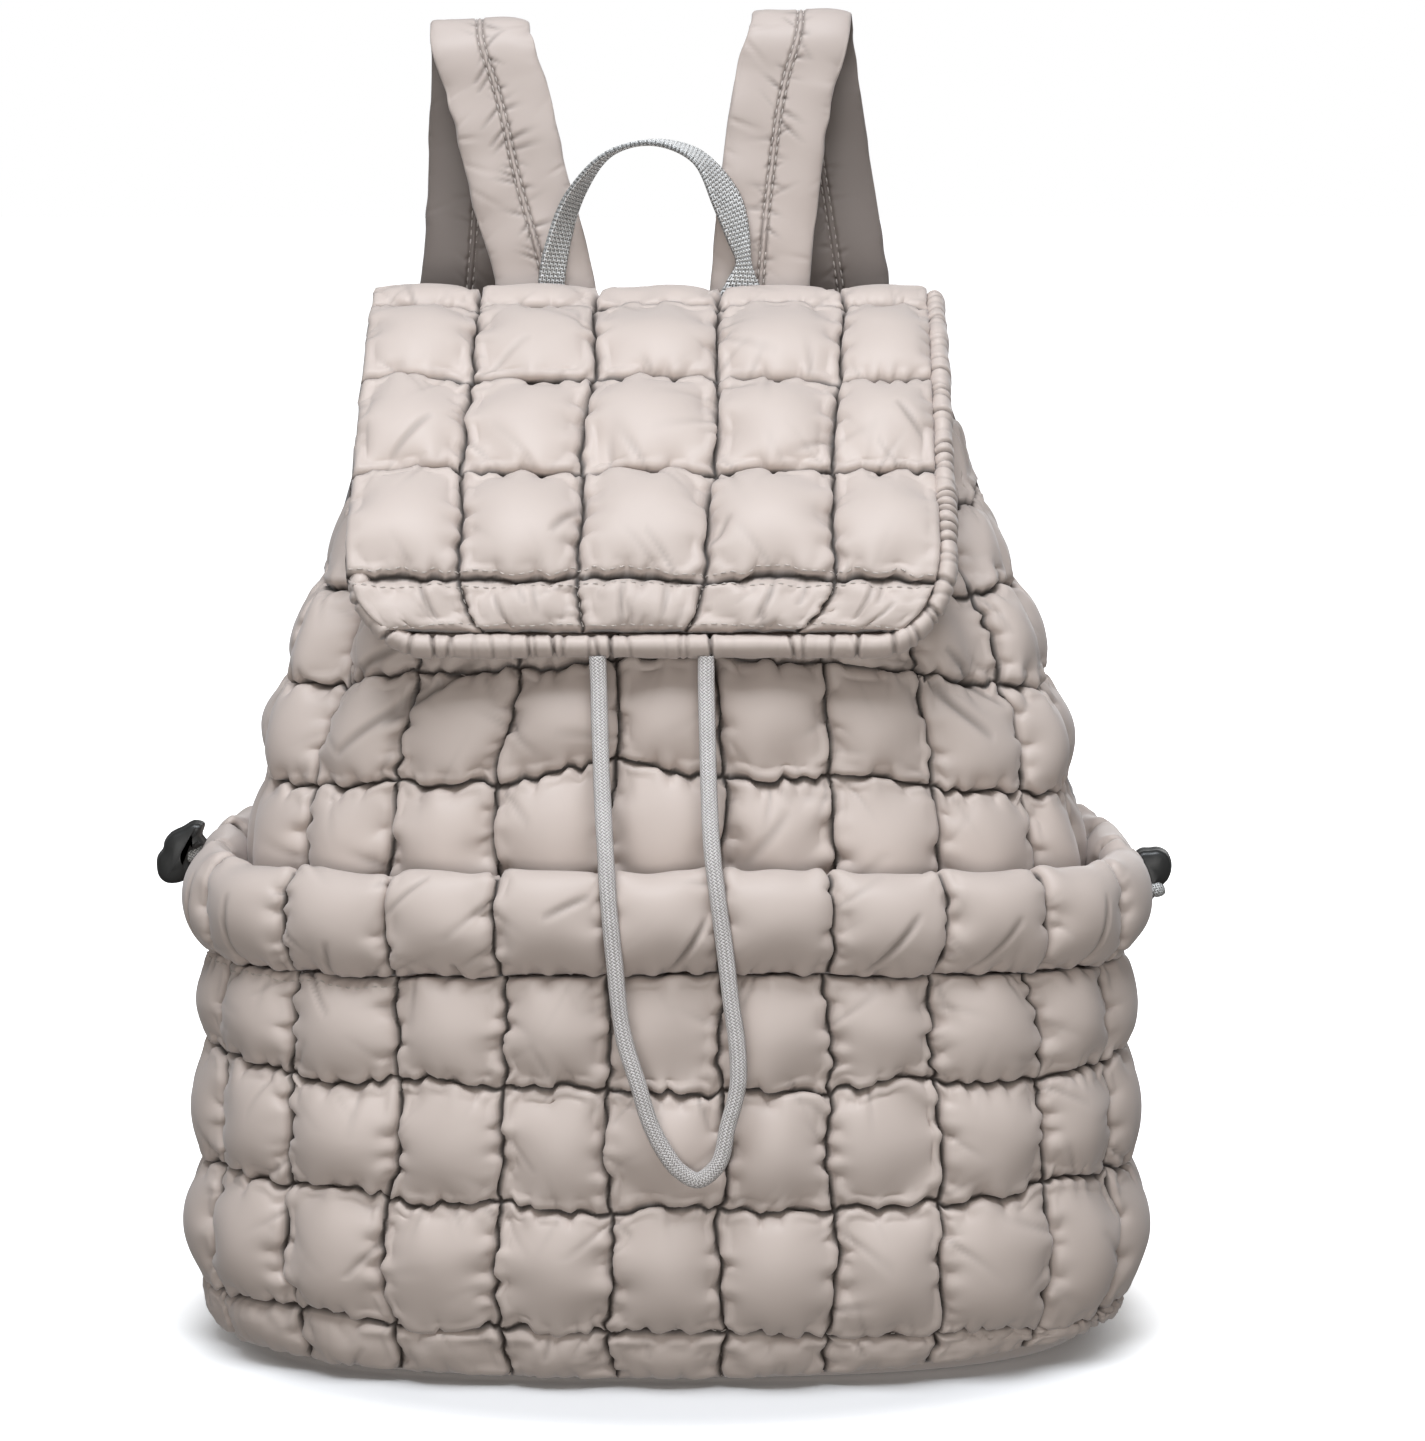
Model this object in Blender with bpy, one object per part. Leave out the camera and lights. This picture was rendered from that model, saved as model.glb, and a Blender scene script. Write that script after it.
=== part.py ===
# Quilted puffer backpack: a hollow quilted body with a gathered mouth, a plain back panel and base,
# a quilted wrap-round pocket with a gathered casing on top, a quilted flap with a padded edge band,
# two padded shoulder straps, a webbing grab handle, a drawcord and two side cord stoppers.
# Metres, +Z up. The origin is on the floor under the middle of the base, and the front faces -Y.

import math
from collections import namedtuple

import bmesh
import bpy
import numpy as np

# Whole bag, measured on the stitch lines
BAG_HEIGHT = 0.380
BAG_WIDTH = 0.340
BACK_DEPTH = 0.074
BAG_DEPTH = 0.171
BACK_LEAN = 0.010

# Cloth, filling and clearances
BODY_WALL = 0.0040
POCKET_WALL = 0.0030
FLAP_WALL = 0.0050
BODY_PUFF = 0.0080
POCKET_PUFF = 0.0080
FLAP_PUFF = 0.0075
SEAM_GAP = 0.0003
HEM_GAP = 0.0008
BAND_GAP = 0.0007

# Quilting
BODY_COLUMNS = 13
POCKET_COLUMNS = 15
CELL_STOPS = (0.0, 0.2, 0.5, 0.8)

# Base, back panel and casing
BASE_THICKNESS = 0.0155
BASE_ROUND = 0.010
PANEL_THICKNESS = 0.0105
PANEL_CROWN = 0.0030
CASING_HEIGHT = 0.0365
CASING_THICKNESS = 0.0120

# Flap: the top group sits a little left of the body's middle
TOP_SHIFT = -0.005
FLAP_HALF_WIDTH = 0.101
FLAP_CORNER = 0.018
BAND_WIDTH = 0.0070
BAND_HEIGHT = 0.0120
BAND_DROP = 0.35
BAND_START = 0.35
BAND_SIDES = 6
BAND_STATIONS = 61

# Straps and handle. The handle's seat is how far it is let into the panel's back, in thicknesses.
STRAP_WIDTH = 0.038
STRAP_THICKNESS = 0.0080
STRAP_RISES = {-1: 0.1040, 1: 0.1075}
STRAP_SWAY = 0.0055
STRAP_BOW = 0.045
STRAP_STATIONS = 40
HANDLE_WIDTH = 0.020
HANDLE_THICKNESS = 0.0024
HANDLE_SPREAD = 0.0363
HANDLE_RISE = 0.0670
HANDLE_SEAT = 1.25
HANDLE_STATIONS = 27

# Cords and stoppers
DRAWCORD_DIAMETER = 0.0060
SIDE_CORD_DIAMETER = 0.0046
SIDE_CORD_LENGTH = 0.0180
SIDE_CORD_GAP = 0.0007
SIDE_EXIT_CELL = 1.5
SIDE_EXIT_HEIGHTS = {-1: 0.84, 1: 0.58}
STOPPER_LENGTH = 0.0225
STOPPER_WIDTH = 0.0130
STOPPER_THICKNESS = 0.0140
STOPPER_STAND_OFFS = {-1: 0.0030, 1: 0.0008}
STOPPER_BORE_GAP = 0.0004
STOPPER_TAPER = 0.28
STOPPER_ROUNDNESS = 0.7

# Horizontal sections of the stitched surface. Height is a share of BAG_HEIGHT, half widths are shares
# of half of BAG_WIDTH, and reach is the share of BAG_DEPTH from the back plane to the front.
Section = namedtuple("Section", "height half_width reach back_half_width")
BODY_SECTIONS = (
    Section(0.042, 0.900, 0.851, 0.840),
    Section(0.263, 0.915, 0.848, 0.850),
    Section(0.490, 0.872, 0.825, 0.822),
    Section(0.591, 0.846, 0.796, 0.802),
    Section(0.691, 0.790, 0.743, 0.753),
    Section(0.760, 0.730, 0.651, 0.703),
    Section(0.818, 0.684, 0.513, 0.665),
    Section(0.847, 0.660, 0.430, 0.644),
    Section(0.908, 0.616, 0.321, 0.600),
)
POCKET_SECTIONS = (
    Section(0.000, 0.965, 0.925, 0.912),
    Section(0.016, 0.976, 0.940, 0.918),
    Section(0.058, 1.003, 0.979, 0.935),
    Section(0.118, 1.018, 0.993, 0.941),
    Section(0.184, 1.003, 0.989, 0.935),
    Section(0.295, 0.990, 0.977, 0.925),
    Section(0.404, 0.978, 0.957, 0.922),
    Section(0.505, 0.978, 0.954, 0.922),
)
# The base's section up its rounded edge: height as a share of BASE_THICKNESS and inset as a share of
# BASE_ROUND.
BasePoint = namedtuple("BasePoint", "height inset")
BASE_SECTION = (
    BasePoint(0.0, 1.00),
    BasePoint(0.2, 0.42),
    BasePoint(0.5, 0.08),
    BasePoint(0.8, 0.00),
    BasePoint(1.0, 0.00),
)
# Outline of the back panel: half width is a share of half of BAG_WIDTH.
PanelEdge = namedtuple("PanelEdge", "height half_width")
PANEL_EDGES = (
    PanelEdge(0.008, 0.930),
    PanelEdge(0.060, 0.950),
    PanelEdge(0.200, 0.950),
    PanelEdge(0.400, 0.925),
    PanelEdge(0.500, 0.925),
    PanelEdge(0.570, 0.840),
    PanelEdge(0.720, 0.760),
    PanelEdge(0.840, 0.690),
    PanelEdge(0.910, 0.650),
    PanelEdge(0.981, 0.612),
)
# The panel's rings run through these shares of its half width. Its back is thinner near both edges, and
# it moves over to the flap's middle over the last stretch of its height.
PANEL_STOPS = (-1.0, -0.96, -0.8, -0.4, 0.0, 0.4, 0.8, 0.96, 1.0)
PANEL_STATIONS = 13
PANEL_EDGE_THINNING = 0.45
PANEL_EDGE_POWER = 12
PANEL_SHIFT_START = 0.75
PANEL_SHIFT_OVER = 0.20
# Stitched rows from the bottom up, as shares of BAG_HEIGHT at the front middle and at the sides.
# Puff is how full the pillows above the row are: 0 is plain cloth and 1 is full.
Row = namedtuple("Row", "front side puff")
BODY_ROWS = (
    Row(0.0421, 0.0421, 0.0),
    Row(0.4550, 0.4250, 1.0),
    Row(0.5913, 0.5492, 1.0),
    Row(0.6911, 0.6518, 1.0),
    Row(0.7605, 0.7387, 0.8),
    Row(0.8184, 0.8224, 0.5),
    Row(0.8474, 0.8895, 0.0),
)
POCKET_ROWS = (
    Row(0.0158, 0.0263, 0.6),
    Row(0.0592, 0.0530, 1.0),
    Row(0.1816, 0.1870, 1.0),
    Row(0.2947, 0.2950, 1.0),
    Row(0.4040, 0.3890, 0.0),
)
# Folds that run up the body: middle as a share of the way round from the front middle, half width as
# a share of half the way round, depth as a share of BAG_WIDTH, and the heights they start and end at.
Fold = namedtuple("Fold", "middle width depth start full")
BODY_FOLDS = (
    Fold(-0.54, 0.050, 0.026, 0.52, 0.70),
    Fold(0.50, 0.045, 0.026, 0.56, 0.72),
    Fold(-0.74, 0.035, 0.010, 0.60, 0.76),
    Fold(0.70, 0.040, 0.014, 0.60, 0.74),
)
# The casing's section: height share of CASING_HEIGHT, out as a share of CASING_THICKNESS.
CasingPoint = namedtuple("CasingPoint", "height out")
CASING_SECTION = (
    CasingPoint(0.00, -0.22),
    CasingPoint(0.00, 0.06),
    CasingPoint(0.22, 0.50),
    CasingPoint(0.58, 0.60),
    CasingPoint(0.88, 0.42),
    CasingPoint(1.00, 0.08),
    CasingPoint(0.93, -0.22),
    CasingPoint(0.62, -0.30),
    CasingPoint(0.25, -0.30),
)
# The flap's middle line from its root over the crest to the lip: reach from the back plane as a share
# of BAG_DEPTH, and rise as a share of BAG_HEIGHT.
FlapPoint = namedtuple("FlapPoint", "reach rise")
FLAP_LINE = (
    FlapPoint(-0.012, 0.9832),
    FlapPoint(-0.004, 0.9960),
    FlapPoint(0.036, 1.0020),
    FlapPoint(0.105, 0.9935),
    FlapPoint(0.355, 0.9330),
    FlapPoint(0.580, 0.8540),
    FlapPoint(0.789, 0.7680),
    FlapPoint(0.832, 0.7200),
)
# The flap's stitched rows, as shares of its length from the root to the lip, and its stitched columns,
# as shares of its half width, which drift to the left on their way down.
FLAP_ROWS = (0.0, 0.144, 0.389, 0.640, 0.906, 1.0)
FLAP_SEAMS = (-1.0, -0.64, -0.20, 0.26, 0.70, 1.0)
FLAP_SEAM_DRIFT = 0.0075
FLAP_ROOT_PUFF = 0.4
FLAP_TRIM = 0.02
# A shoulder strap's middle line: side as a share of half of BAG_WIDTH, height as a share of BAG_HEIGHT,
# rise as a share of the strap's STRAP_RISES, and bow as a share of STRAP_BOW behind the back panel.
# The loops lean to the left as they rise, by STRAP_SWAY at their tops, with the square of the rise.
StrapPoint = namedtuple("StrapPoint", "side height rise bow")
STRAP_LINE = (
    StrapPoint(0.2300, 0.915, 0.00, 0.000),
    StrapPoint(0.2300, 0.960, 0.00, 0.000),
    StrapPoint(0.2450, 1.000, 0.10, 0.070),
    StrapPoint(0.2810, 1.000, 0.42, 0.090),
    StrapPoint(0.3250, 1.000, 0.78, 0.100),
    StrapPoint(0.3560, 1.000, 0.94, 0.160),
    StrapPoint(0.3600, 1.000, 1.00, 0.340),
    StrapPoint(0.3640, 1.000, 0.93, 0.560),
    StrapPoint(0.3760, 1.000, 0.70, 0.660),
    StrapPoint(0.4200, 1.000, 0.05, 0.700),
    StrapPoint(0.4700, 0.870, 0.00, 0.860),
    StrapPoint(0.5250, 0.700, 0.00, 1.000),
    StrapPoint(0.6200, 0.440, 0.00, 0.960),
    StrapPoint(0.6900, 0.230, 0.00, 0.580),
    StrapPoint(0.7300, 0.130, 0.00, 0.200),
    StrapPoint(0.7500, 0.085, 0.00, 0.000),
    StrapPoint(0.7550, 0.055, 0.00, 0.000),
)
# The grab handle's middle line: side as a share of HANDLE_SPREAD, rise as a share of HANDLE_RISE,
# back in metres from the plane of its feet, twist in degrees from edge on to face on, and narrow as a
# share of HANDLE_WIDTH.
HandlePoint = namedtuple("HandlePoint", "side rise back twist narrow")
HANDLE_LINE = (
    HandlePoint(-1.00, 0.00, 0.0000, 75.0, 0.62),
    HandlePoint(-1.00, 0.06, 0.0000, 75.0, 0.62),
    HandlePoint(-1.05, 0.20, 0.0000, 72.0, 0.62),
    HandlePoint(-1.02, 0.42, -0.0012, 55.0, 0.75),
    HandlePoint(-0.86, 0.72, -0.0015, 30.0, 0.95),
    HandlePoint(-0.50, 0.94, -0.0020, 10.0, 1.00),
    HandlePoint(0.00, 1.00, -0.0020, 0.0, 1.00),
    HandlePoint(0.48, 0.93, -0.0020, -12.0, 1.00),
    HandlePoint(0.84, 0.70, -0.0015, -35.0, 0.92),
    HandlePoint(1.02, 0.42, -0.0012, -60.0, 0.62),
    HandlePoint(1.06, 0.20, 0.0000, -78.0, 0.70),
    HandlePoint(1.00, 0.06, 0.0000, -80.0, 0.90),
    HandlePoint(1.00, 0.00, 0.0000, -80.0, 0.95),
)
# The drawcord's route, from under the flap's left side, down in front of the pocket and back up.
DRAWCORD_ROUTE = (
    (-0.0238, -0.0780, 0.2655),
    (-0.0234, -0.0795, 0.2560),
    (-0.0230, -0.0835, 0.2430),
    (-0.0219, -0.0930, 0.2180),
    (-0.0208, -0.1010, 0.2005),
    (-0.0197, -0.1050, 0.1833),
    (-0.0177, -0.1063, 0.1617),
    (-0.0139, -0.1080, 0.1321),
    (-0.0093, -0.1095, 0.1172),
    (-0.0047, -0.1098, 0.1023),
    (-0.0002, -0.1098, 0.0933),
    (0.0050, -0.1098, 0.0862),
    (0.0119, -0.1098, 0.0825),
    (0.0179, -0.1098, 0.0868),
    (0.0225, -0.1098, 0.1024),
    (0.0260, -0.1095, 0.1172),
    (0.0256, -0.1085, 0.1321),
    (0.0235, -0.1075, 0.1468),
    (0.0218, -0.1063, 0.1617),
    (0.0189, -0.1050, 0.1833),
    (0.0168, -0.1010, 0.2005),
    (0.0158, -0.0930, 0.2180),
    (0.0151, -0.0835, 0.2430),
    (0.0148, -0.0795, 0.2560),
    (0.0147, -0.0780, 0.2655),
)
DRAWCORD_STATIONS = 44

HALF_WIDTH = BAG_WIDTH / 2
ROUNDNESS = 2.6
WIDEST = 0.55
ROW_BLEND = 0.7
PILLOW_FULLNESS = 0.55
CASING_PINCH = 0.28
PATH_STEPS = 800
FLAP_STEPS = 600


def clear_scene():
    for obj in list(bpy.data.objects):
        bpy.data.objects.remove(obj, do_unlink=True)


def material(name, colour, roughness, metallic=0.0):
    """A Principled material of one colour."""
    made = bpy.data.materials.new(name)
    made.use_nodes = True
    shader = made.node_tree.nodes["Principled BSDF"]
    shader.inputs["Base Color"].default_value = (*colour, 1.0)
    shader.inputs["Roughness"].default_value = roughness
    shader.inputs["Metallic"].default_value = metallic
    return made


def mesh_object(name, points, faces, finish, sharp=45.0):
    """One closed mesh, faces outwards, shaded smooth except at sharp edges."""
    mesh = bpy.data.meshes.new(name)
    mesh.from_pydata([tuple(map(float, point)) for point in points], [], faces)
    work = bmesh.new()
    work.from_mesh(mesh)
    bmesh.ops.recalc_face_normals(work, faces=work.faces)
    work.to_mesh(mesh)
    work.free()
    mesh.shade_smooth()
    mesh.set_sharp_from_angle(angle=math.radians(sharp))
    mesh.materials.append(finish)
    obj = bpy.data.objects.new(name, mesh)
    bpy.context.scene.collection.objects.link(obj)
    return obj


def smooth_steps(t):
    t = np.clip(t, 0.0, 1.0)
    return t * t * (3.0 - 2.0 * t)


def smooth_table(x, knots, values):
    """Cubic curve through a table's points, with the slopes of its neighbours."""
    knots = np.asarray(knots, float)
    values = np.asarray(values, float)
    slopes = np.gradient(values, knots)
    x = np.clip(np.asarray(x, float), knots[0], knots[-1])
    k = np.clip(np.searchsorted(knots, x, side="right") - 1, 0, len(knots) - 2)
    step = knots[k + 1] - knots[k]
    t = (x - knots[k]) / step
    return (
        (1 + 2 * t) * (1 - t) ** 2 * values[k]
        + t * (1 - t) ** 2 * step * slopes[k]
        + t * t * (3 - 2 * t) * values[k + 1]
        + t * t * (t - 1) * step * slopes[k + 1]
    )


def smooth_path(points, stations):
    """Points evenly spaced along a smooth curve through the given ones."""
    points = np.asarray(points, float)
    chords = np.linalg.norm(np.diff(points, axis=0), axis=1)
    knots = np.concatenate([[0.0], np.cumsum(chords)])
    fine = np.linspace(0.0, knots[-1], PATH_STEPS)
    curve = np.stack([smooth_table(fine, knots, column) for column in points.T], axis=1)
    length = np.concatenate([[0.0], np.cumsum(np.linalg.norm(np.diff(curve, axis=0), axis=1))])
    even = np.linspace(0.0, length[-1], stations)
    return np.stack([np.interp(even, length, column) for column in curve.T], axis=1)


def back_plane(z):
    return BACK_DEPTH - BACK_LEAN * np.asarray(z) / BAG_HEIGHT


def plan_point(turn, half_width, front, back_half_width, back):
    """A point of the bag's D-shaped plan: turn 0 is the front middle, 1 the widest, 2 the back edge."""
    widest = front + WIDEST * (back - front)
    angle = np.clip(turn, 0.0, 1.0) * math.pi / 2
    side = np.clip(turn - 1.0, 0.0, 1.0)
    x = half_width * np.sin(angle) ** (2 / ROUNDNESS) - (half_width - back_half_width) * side**2
    y = widest - (widest - front) * np.cos(angle) ** (2 / ROUNDNESS) + (back - widest) * side
    return x, y


def even_turns():
    """Turn against the share of the way round, worked out once on the fullest section."""
    fullest = max(POCKET_SECTIONS, key=lambda section: section.half_width)
    turns = np.linspace(0.0, 2.0, 2001)
    x, y = plan_point(
        turns,
        fullest.half_width * HALF_WIDTH,
        BACK_DEPTH - fullest.reach * BAG_DEPTH,
        fullest.back_half_width * HALF_WIDTH,
        BACK_DEPTH,
    )
    length = np.concatenate([[0.0], np.cumsum(np.hypot(np.diff(x), np.diff(y)))])
    return length / length[-1], turns


ROUND_SHARES, ROUND_TURNS = even_turns()


def layer_point(sections, u, z, out=0.0):
    """A point on a layer of the bag: u from -1 to 1 goes round the front, out is the offset outwards."""
    u, z, out = np.broadcast_arrays(np.asarray(u, float), np.asarray(z, float), out)
    heights = [section.height * BAG_HEIGHT for section in sections]
    half_width = smooth_table(z, heights, [s.half_width * HALF_WIDTH for s in sections]) + out
    reach = smooth_table(z, heights, [s.reach * BAG_DEPTH for s in sections]) + out
    back_half = smooth_table(z, heights, [s.back_half_width * HALF_WIDTH for s in sections]) + out
    back = back_plane(z) - SEAM_GAP
    turn = np.interp(np.abs(u), ROUND_SHARES, ROUND_TURNS)
    x, y = plan_point(turn, half_width, back_plane(z) - reach, back_half, back)
    return np.stack([np.sign(u) * x, y, z], axis=-1)


def row_height(rows, level, u):
    """The height of a stitched row, and of anything between two rows, at u."""
    blend = smooth_steps(np.abs(u) / ROW_BLEND)
    heights = [row.front + (row.side - row.front) * blend for row in rows]
    low = min(int(level), len(rows) - 2)
    part = level - low
    return BAG_HEIGHT * (heights[low] * (1 - part) + heights[low + 1] * part)


def fold_depth(u, z):
    """How far the body's folds press in at u and z."""
    depth = np.zeros_like(z)
    for fold in BODY_FOLDS:
        across = np.exp(-(((u - fold.middle) / fold.width) ** 2))
        up = smooth_steps((z / BAG_HEIGHT - fold.start) / (fold.full - fold.start))
        depth = depth + fold.depth * BAG_WIDTH * across * up
    return depth


def pillow(t):
    return np.abs(np.sin(math.pi * t)) ** PILLOW_FULLNESS


def cell_stops(cells, stops=CELL_STOPS):
    """Mesh positions across a number of cells, with those of CELL_STOPS in each."""
    return np.array([cell + stop for cell in range(cells) for stop in stops] + [float(cells)])


def wall_faces(rows, columns, inner_rows, inner_columns):
    """Faces of a padded wall: a fine outer grid and a coarse inner one, joined round their edges."""
    start = rows * columns
    ratio = (columns - 1) // (inner_columns - 1)

    def outer(r, c):
        return r * columns + c

    def inner(r, c):
        return start + r * inner_columns + c

    faces = []
    for r in range(rows - 1):
        for c in range(columns - 1):
            faces.append((outer(r, c), outer(r, c + 1), outer(r + 1, c + 1), outer(r + 1, c)))
    for r in range(inner_rows - 1):
        for c in range(inner_columns - 1):
            faces.append((inner(r, c), inner(r + 1, c), inner(r + 1, c + 1), inner(r, c + 1)))
    for r, ri in ((0, 0), (rows - 1, inner_rows - 1)):
        for c in range(inner_columns - 1):
            edge = [outer(r, c * ratio + k) for k in range(ratio + 1)]
            faces.append(tuple(edge + [inner(ri, c + 1), inner(ri, c)]))
    for c, ci in ((0, 0), (columns - 1, inner_columns - 1)):
        if rows == inner_rows:
            for r in range(rows - 1):
                faces.append((outer(r, c), outer(r + 1, c), inner(r + 1, ci), inner(r, ci)))
        else:
            up = [outer(r, c) for r in range(rows)]
            down = [inner(r, ci) for r in reversed(range(inner_rows))]
            faces.append(tuple(up + down))
    return faces


def wall_object(name, outer, inner, finish):
    points = np.concatenate([outer.reshape(-1, 3), inner.reshape(-1, 3)])
    faces = wall_faces(*outer.shape[:2], *inner.shape[:2])
    return mesh_object(name, points, faces, finish)


def sweep_object(name, rings, finish, sharp=60.0):
    """A closed bar from rings of equal point counts, with a flat cap at each end."""
    rings = np.asarray(rings, float)
    stations, sides = rings.shape[:2]
    faces = []
    for s in range(stations - 1):
        for k in range(sides):
            nxt = (k + 1) % sides
            faces.append(
                (s * sides + k, s * sides + nxt, (s + 1) * sides + nxt, (s + 1) * sides + k)
            )
    faces.append(tuple(range(sides)))
    faces.append(tuple((stations - 1) * sides + k for k in range(sides)))
    return mesh_object(name, rings.reshape(-1, 3), faces, finish, sharp)


def quilted_layer(name, sections, rows, columns, wall, puff, finish, plain_steps, folded, inner_levels):
    """A padded wall round the bag: pillows between stitched rows and columns, smooth inside."""
    u = cell_stops(columns) / columns * 2 - 1
    levels = []
    for k, row in enumerate(rows[:-1]):
        stops = CELL_STOPS if row.puff > 0 else np.arange(plain_steps) / plain_steps
        levels += [k + stop for stop in stops]
    levels.append(float(len(rows) - 1))
    outer = []
    for level in levels:
        z = row_height(rows, level, u)
        k = min(int(level), len(rows) - 2)
        raised = puff * rows[k].puff * pillow(level - k) * pillow(cell_stops(columns) % 1.0)
        sunk = fold_depth(u, z) if folded else 0.0
        outer.append(layer_point(sections, u, z, raised - sunk))
    inner = []
    u_inner = u[::2]
    for level in inner_levels:
        z = row_height(rows, level, u_inner)
        sunk = fold_depth(u_inner, z) if folded else 0.0
        inner.append(layer_point(sections, u_inner, z, -wall - sunk))
    return wall_object(name, np.array(outer), np.array(inner), finish)


def build_body(finish):
    return quilted_layer(
        "bag_body",
        BODY_SECTIONS,
        BODY_ROWS,
        BODY_COLUMNS,
        BODY_WALL,
        BODY_PUFF,
        finish,
        plain_steps=3,
        folded=True,
        inner_levels=(0, 0.5, 1, 2, 2.5, 3, 3.5, 4, 5, 6),
    )


def build_pocket(finish):
    return quilted_layer(
        "pocket_panel",
        POCKET_SECTIONS,
        POCKET_ROWS,
        POCKET_COLUMNS,
        POCKET_WALL,
        POCKET_PUFF,
        finish,
        plain_steps=1,
        folded=False,
        inner_levels=(0, 1, 1.5, 2, 3, 4),
    )


def build_base(finish):
    """The bottom panel: flat underneath, rounded up to the pocket's hem, flat where the body stands."""
    u = cell_stops(POCKET_COLUMNS)[::2] / POCKET_COLUMNS * 2 - 1
    tuck = POCKET_WALL + HEM_GAP
    rings = []
    for point in BASE_SECTION:
        z = np.full_like(u, point.height * BASE_THICKNESS)
        rings.append(layer_point(POCKET_SECTIONS, u, z, -tuck - point.inset * BASE_ROUND))
    return sweep_object("bag_base", rings, finish, sharp=50.0)


def build_back_panel(finish):
    """The plain padded panel behind: a flat front face and a slightly crowned back."""
    across = np.array(PANEL_STOPS)
    edges = np.array(PANEL_EDGES)
    heights = np.linspace(edges[0, 0], edges[-1, 0], PANEL_STATIONS)
    half_widths = smooth_table(heights, edges[:, 0], edges[:, 1]) * HALF_WIDTH
    rings = []
    for height, half_width in zip(heights, half_widths):
        z = height * BAG_HEIGHT
        share = (height - heights[0]) / (heights[-1] - heights[0])
        crown = PANEL_CROWN * math.sin(math.pi * share)
        front = back_plane(z)
        shift = TOP_SHIFT * smooth_steps((height - PANEL_SHIFT_START) / PANEL_SHIFT_OVER)
        x = across * half_width + shift
        thinned = 1 - PANEL_EDGE_THINNING * np.abs(across) ** PANEL_EDGE_POWER
        depth = (PANEL_THICKNESS + crown * (1 - across**2)) * thinned
        rear = np.stack([x, front + depth, np.full_like(x, z)], axis=1)
        fore = np.array([[x[-1], front, z], [x[0], front, z]])
        rings.append(np.concatenate([rear, fore]))
    return sweep_object("back_panel", rings, finish, sharp=50.0)


def build_casing(finish):
    """The gathered casing on the pocket's top edge, pinched at each stitched column."""
    u = cell_stops(POCKET_COLUMNS) / POCKET_COLUMNS * 2 - 1
    full = 1 - CASING_PINCH * (1 - pillow(cell_stops(POCKET_COLUMNS) % 1.0))
    foot = row_height(POCKET_ROWS, len(POCKET_ROWS) - 1, u) + SEAM_GAP
    ring_points = []
    for point in CASING_SECTION:
        pinch = full if point.height > 0 else 1.0
        out = point.out * CASING_THICKNESS * pinch
        z = foot + point.height * CASING_HEIGHT
        on_foot = layer_point(POCKET_SECTIONS, u, z, out)
        ring_points.append(on_foot)
    rings = np.stack(ring_points, axis=1)
    return sweep_object("pocket_casing", rings, finish)


def flap_line():
    """The flap's middle line as fine points (y, z) with its length, run on past the lip for the band."""
    points = []
    for point in FLAP_LINE:
        z = point.rise * BAG_HEIGHT
        points.append((float(back_plane(z)) - point.reach * BAG_DEPTH, z))
    path = smooth_path(points, FLAP_STEPS)
    length = np.concatenate([[0.0], np.cumsum(np.linalg.norm(np.diff(path, axis=0), axis=1))])
    return path, length


FLAP_PATH, FLAP_RUN = flap_line()
FLAP_LENGTH = FLAP_RUN[-1]


def flap_point(x, s, rise):
    """A point of the flap: x across, s down from the root, rise above its middle surface."""
    s = np.asarray(s, float)
    inside = np.clip(s, 0.0, FLAP_LENGTH)
    y = np.interp(inside, FLAP_RUN, FLAP_PATH[:, 0])
    z = np.interp(inside, FLAP_RUN, FLAP_PATH[:, 1])
    step = 0.002
    low = np.clip(inside - step, 0.0, FLAP_LENGTH)
    high = np.clip(inside + step, 0.0, FLAP_LENGTH)
    dy = np.interp(high, FLAP_RUN, FLAP_PATH[:, 0]) - np.interp(low, FLAP_RUN, FLAP_PATH[:, 0])
    dz = np.interp(high, FLAP_RUN, FLAP_PATH[:, 1]) - np.interp(low, FLAP_RUN, FLAP_PATH[:, 1])
    size = np.hypot(dy, dz)
    dy, dz = dy / size, dz / size
    past = s - inside
    return np.stack([x, y + dy * past + dz * rise, z + dz * past - dy * rise], axis=-1)


def flap_half_width(s):
    """Half width of the flap down its length, drawn in at the rounded corners of the lip."""
    past = np.clip(s - (FLAP_LENGTH - FLAP_CORNER), 0.0, FLAP_CORNER)
    return FLAP_HALF_WIDTH - FLAP_CORNER + np.sqrt(np.maximum(FLAP_CORNER**2 - past**2, 0.0))


def build_flap(finish):
    columns = cell_stops(len(FLAP_SEAMS) - 1)
    across = np.interp(columns, np.arange(len(FLAP_SEAMS)), FLAP_SEAMS)
    run = []
    part = []
    for top, bottom in zip(FLAP_ROWS[:-1], FLAP_ROWS[1:]):
        for stop in CELL_STOPS:
            run.append((top + (bottom - top) * stop) * FLAP_LENGTH)
            part.append(stop)
    run.append(FLAP_LENGTH - FLAP_TRIM * FLAP_CORNER)
    part.append(0.0)
    run = np.array(run)
    part = np.array(part)
    outer = []
    inner = []
    for s, stop in zip(run, part):
        half = flap_half_width(s)
        drift = -FLAP_SEAM_DRIFT * s / FLAP_LENGTH * (1 - across**2)
        x = TOP_SHIFT + across * half + drift
        near_root = FLAP_ROOT_PUFF if s < FLAP_ROWS[1] * FLAP_LENGTH else 1.0
        raised = FLAP_PUFF * near_root * pillow(stop) * pillow(columns % 1.0)
        outer.append(flap_point(x, np.full_like(x, s), FLAP_WALL / 2 + raised))
        inner.append(flap_point(x[::4], np.full_like(x[::4], s), -FLAP_WALL / 2))
    return wall_object("flap_panel", np.array(outer), np.array(inner), finish)


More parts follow.
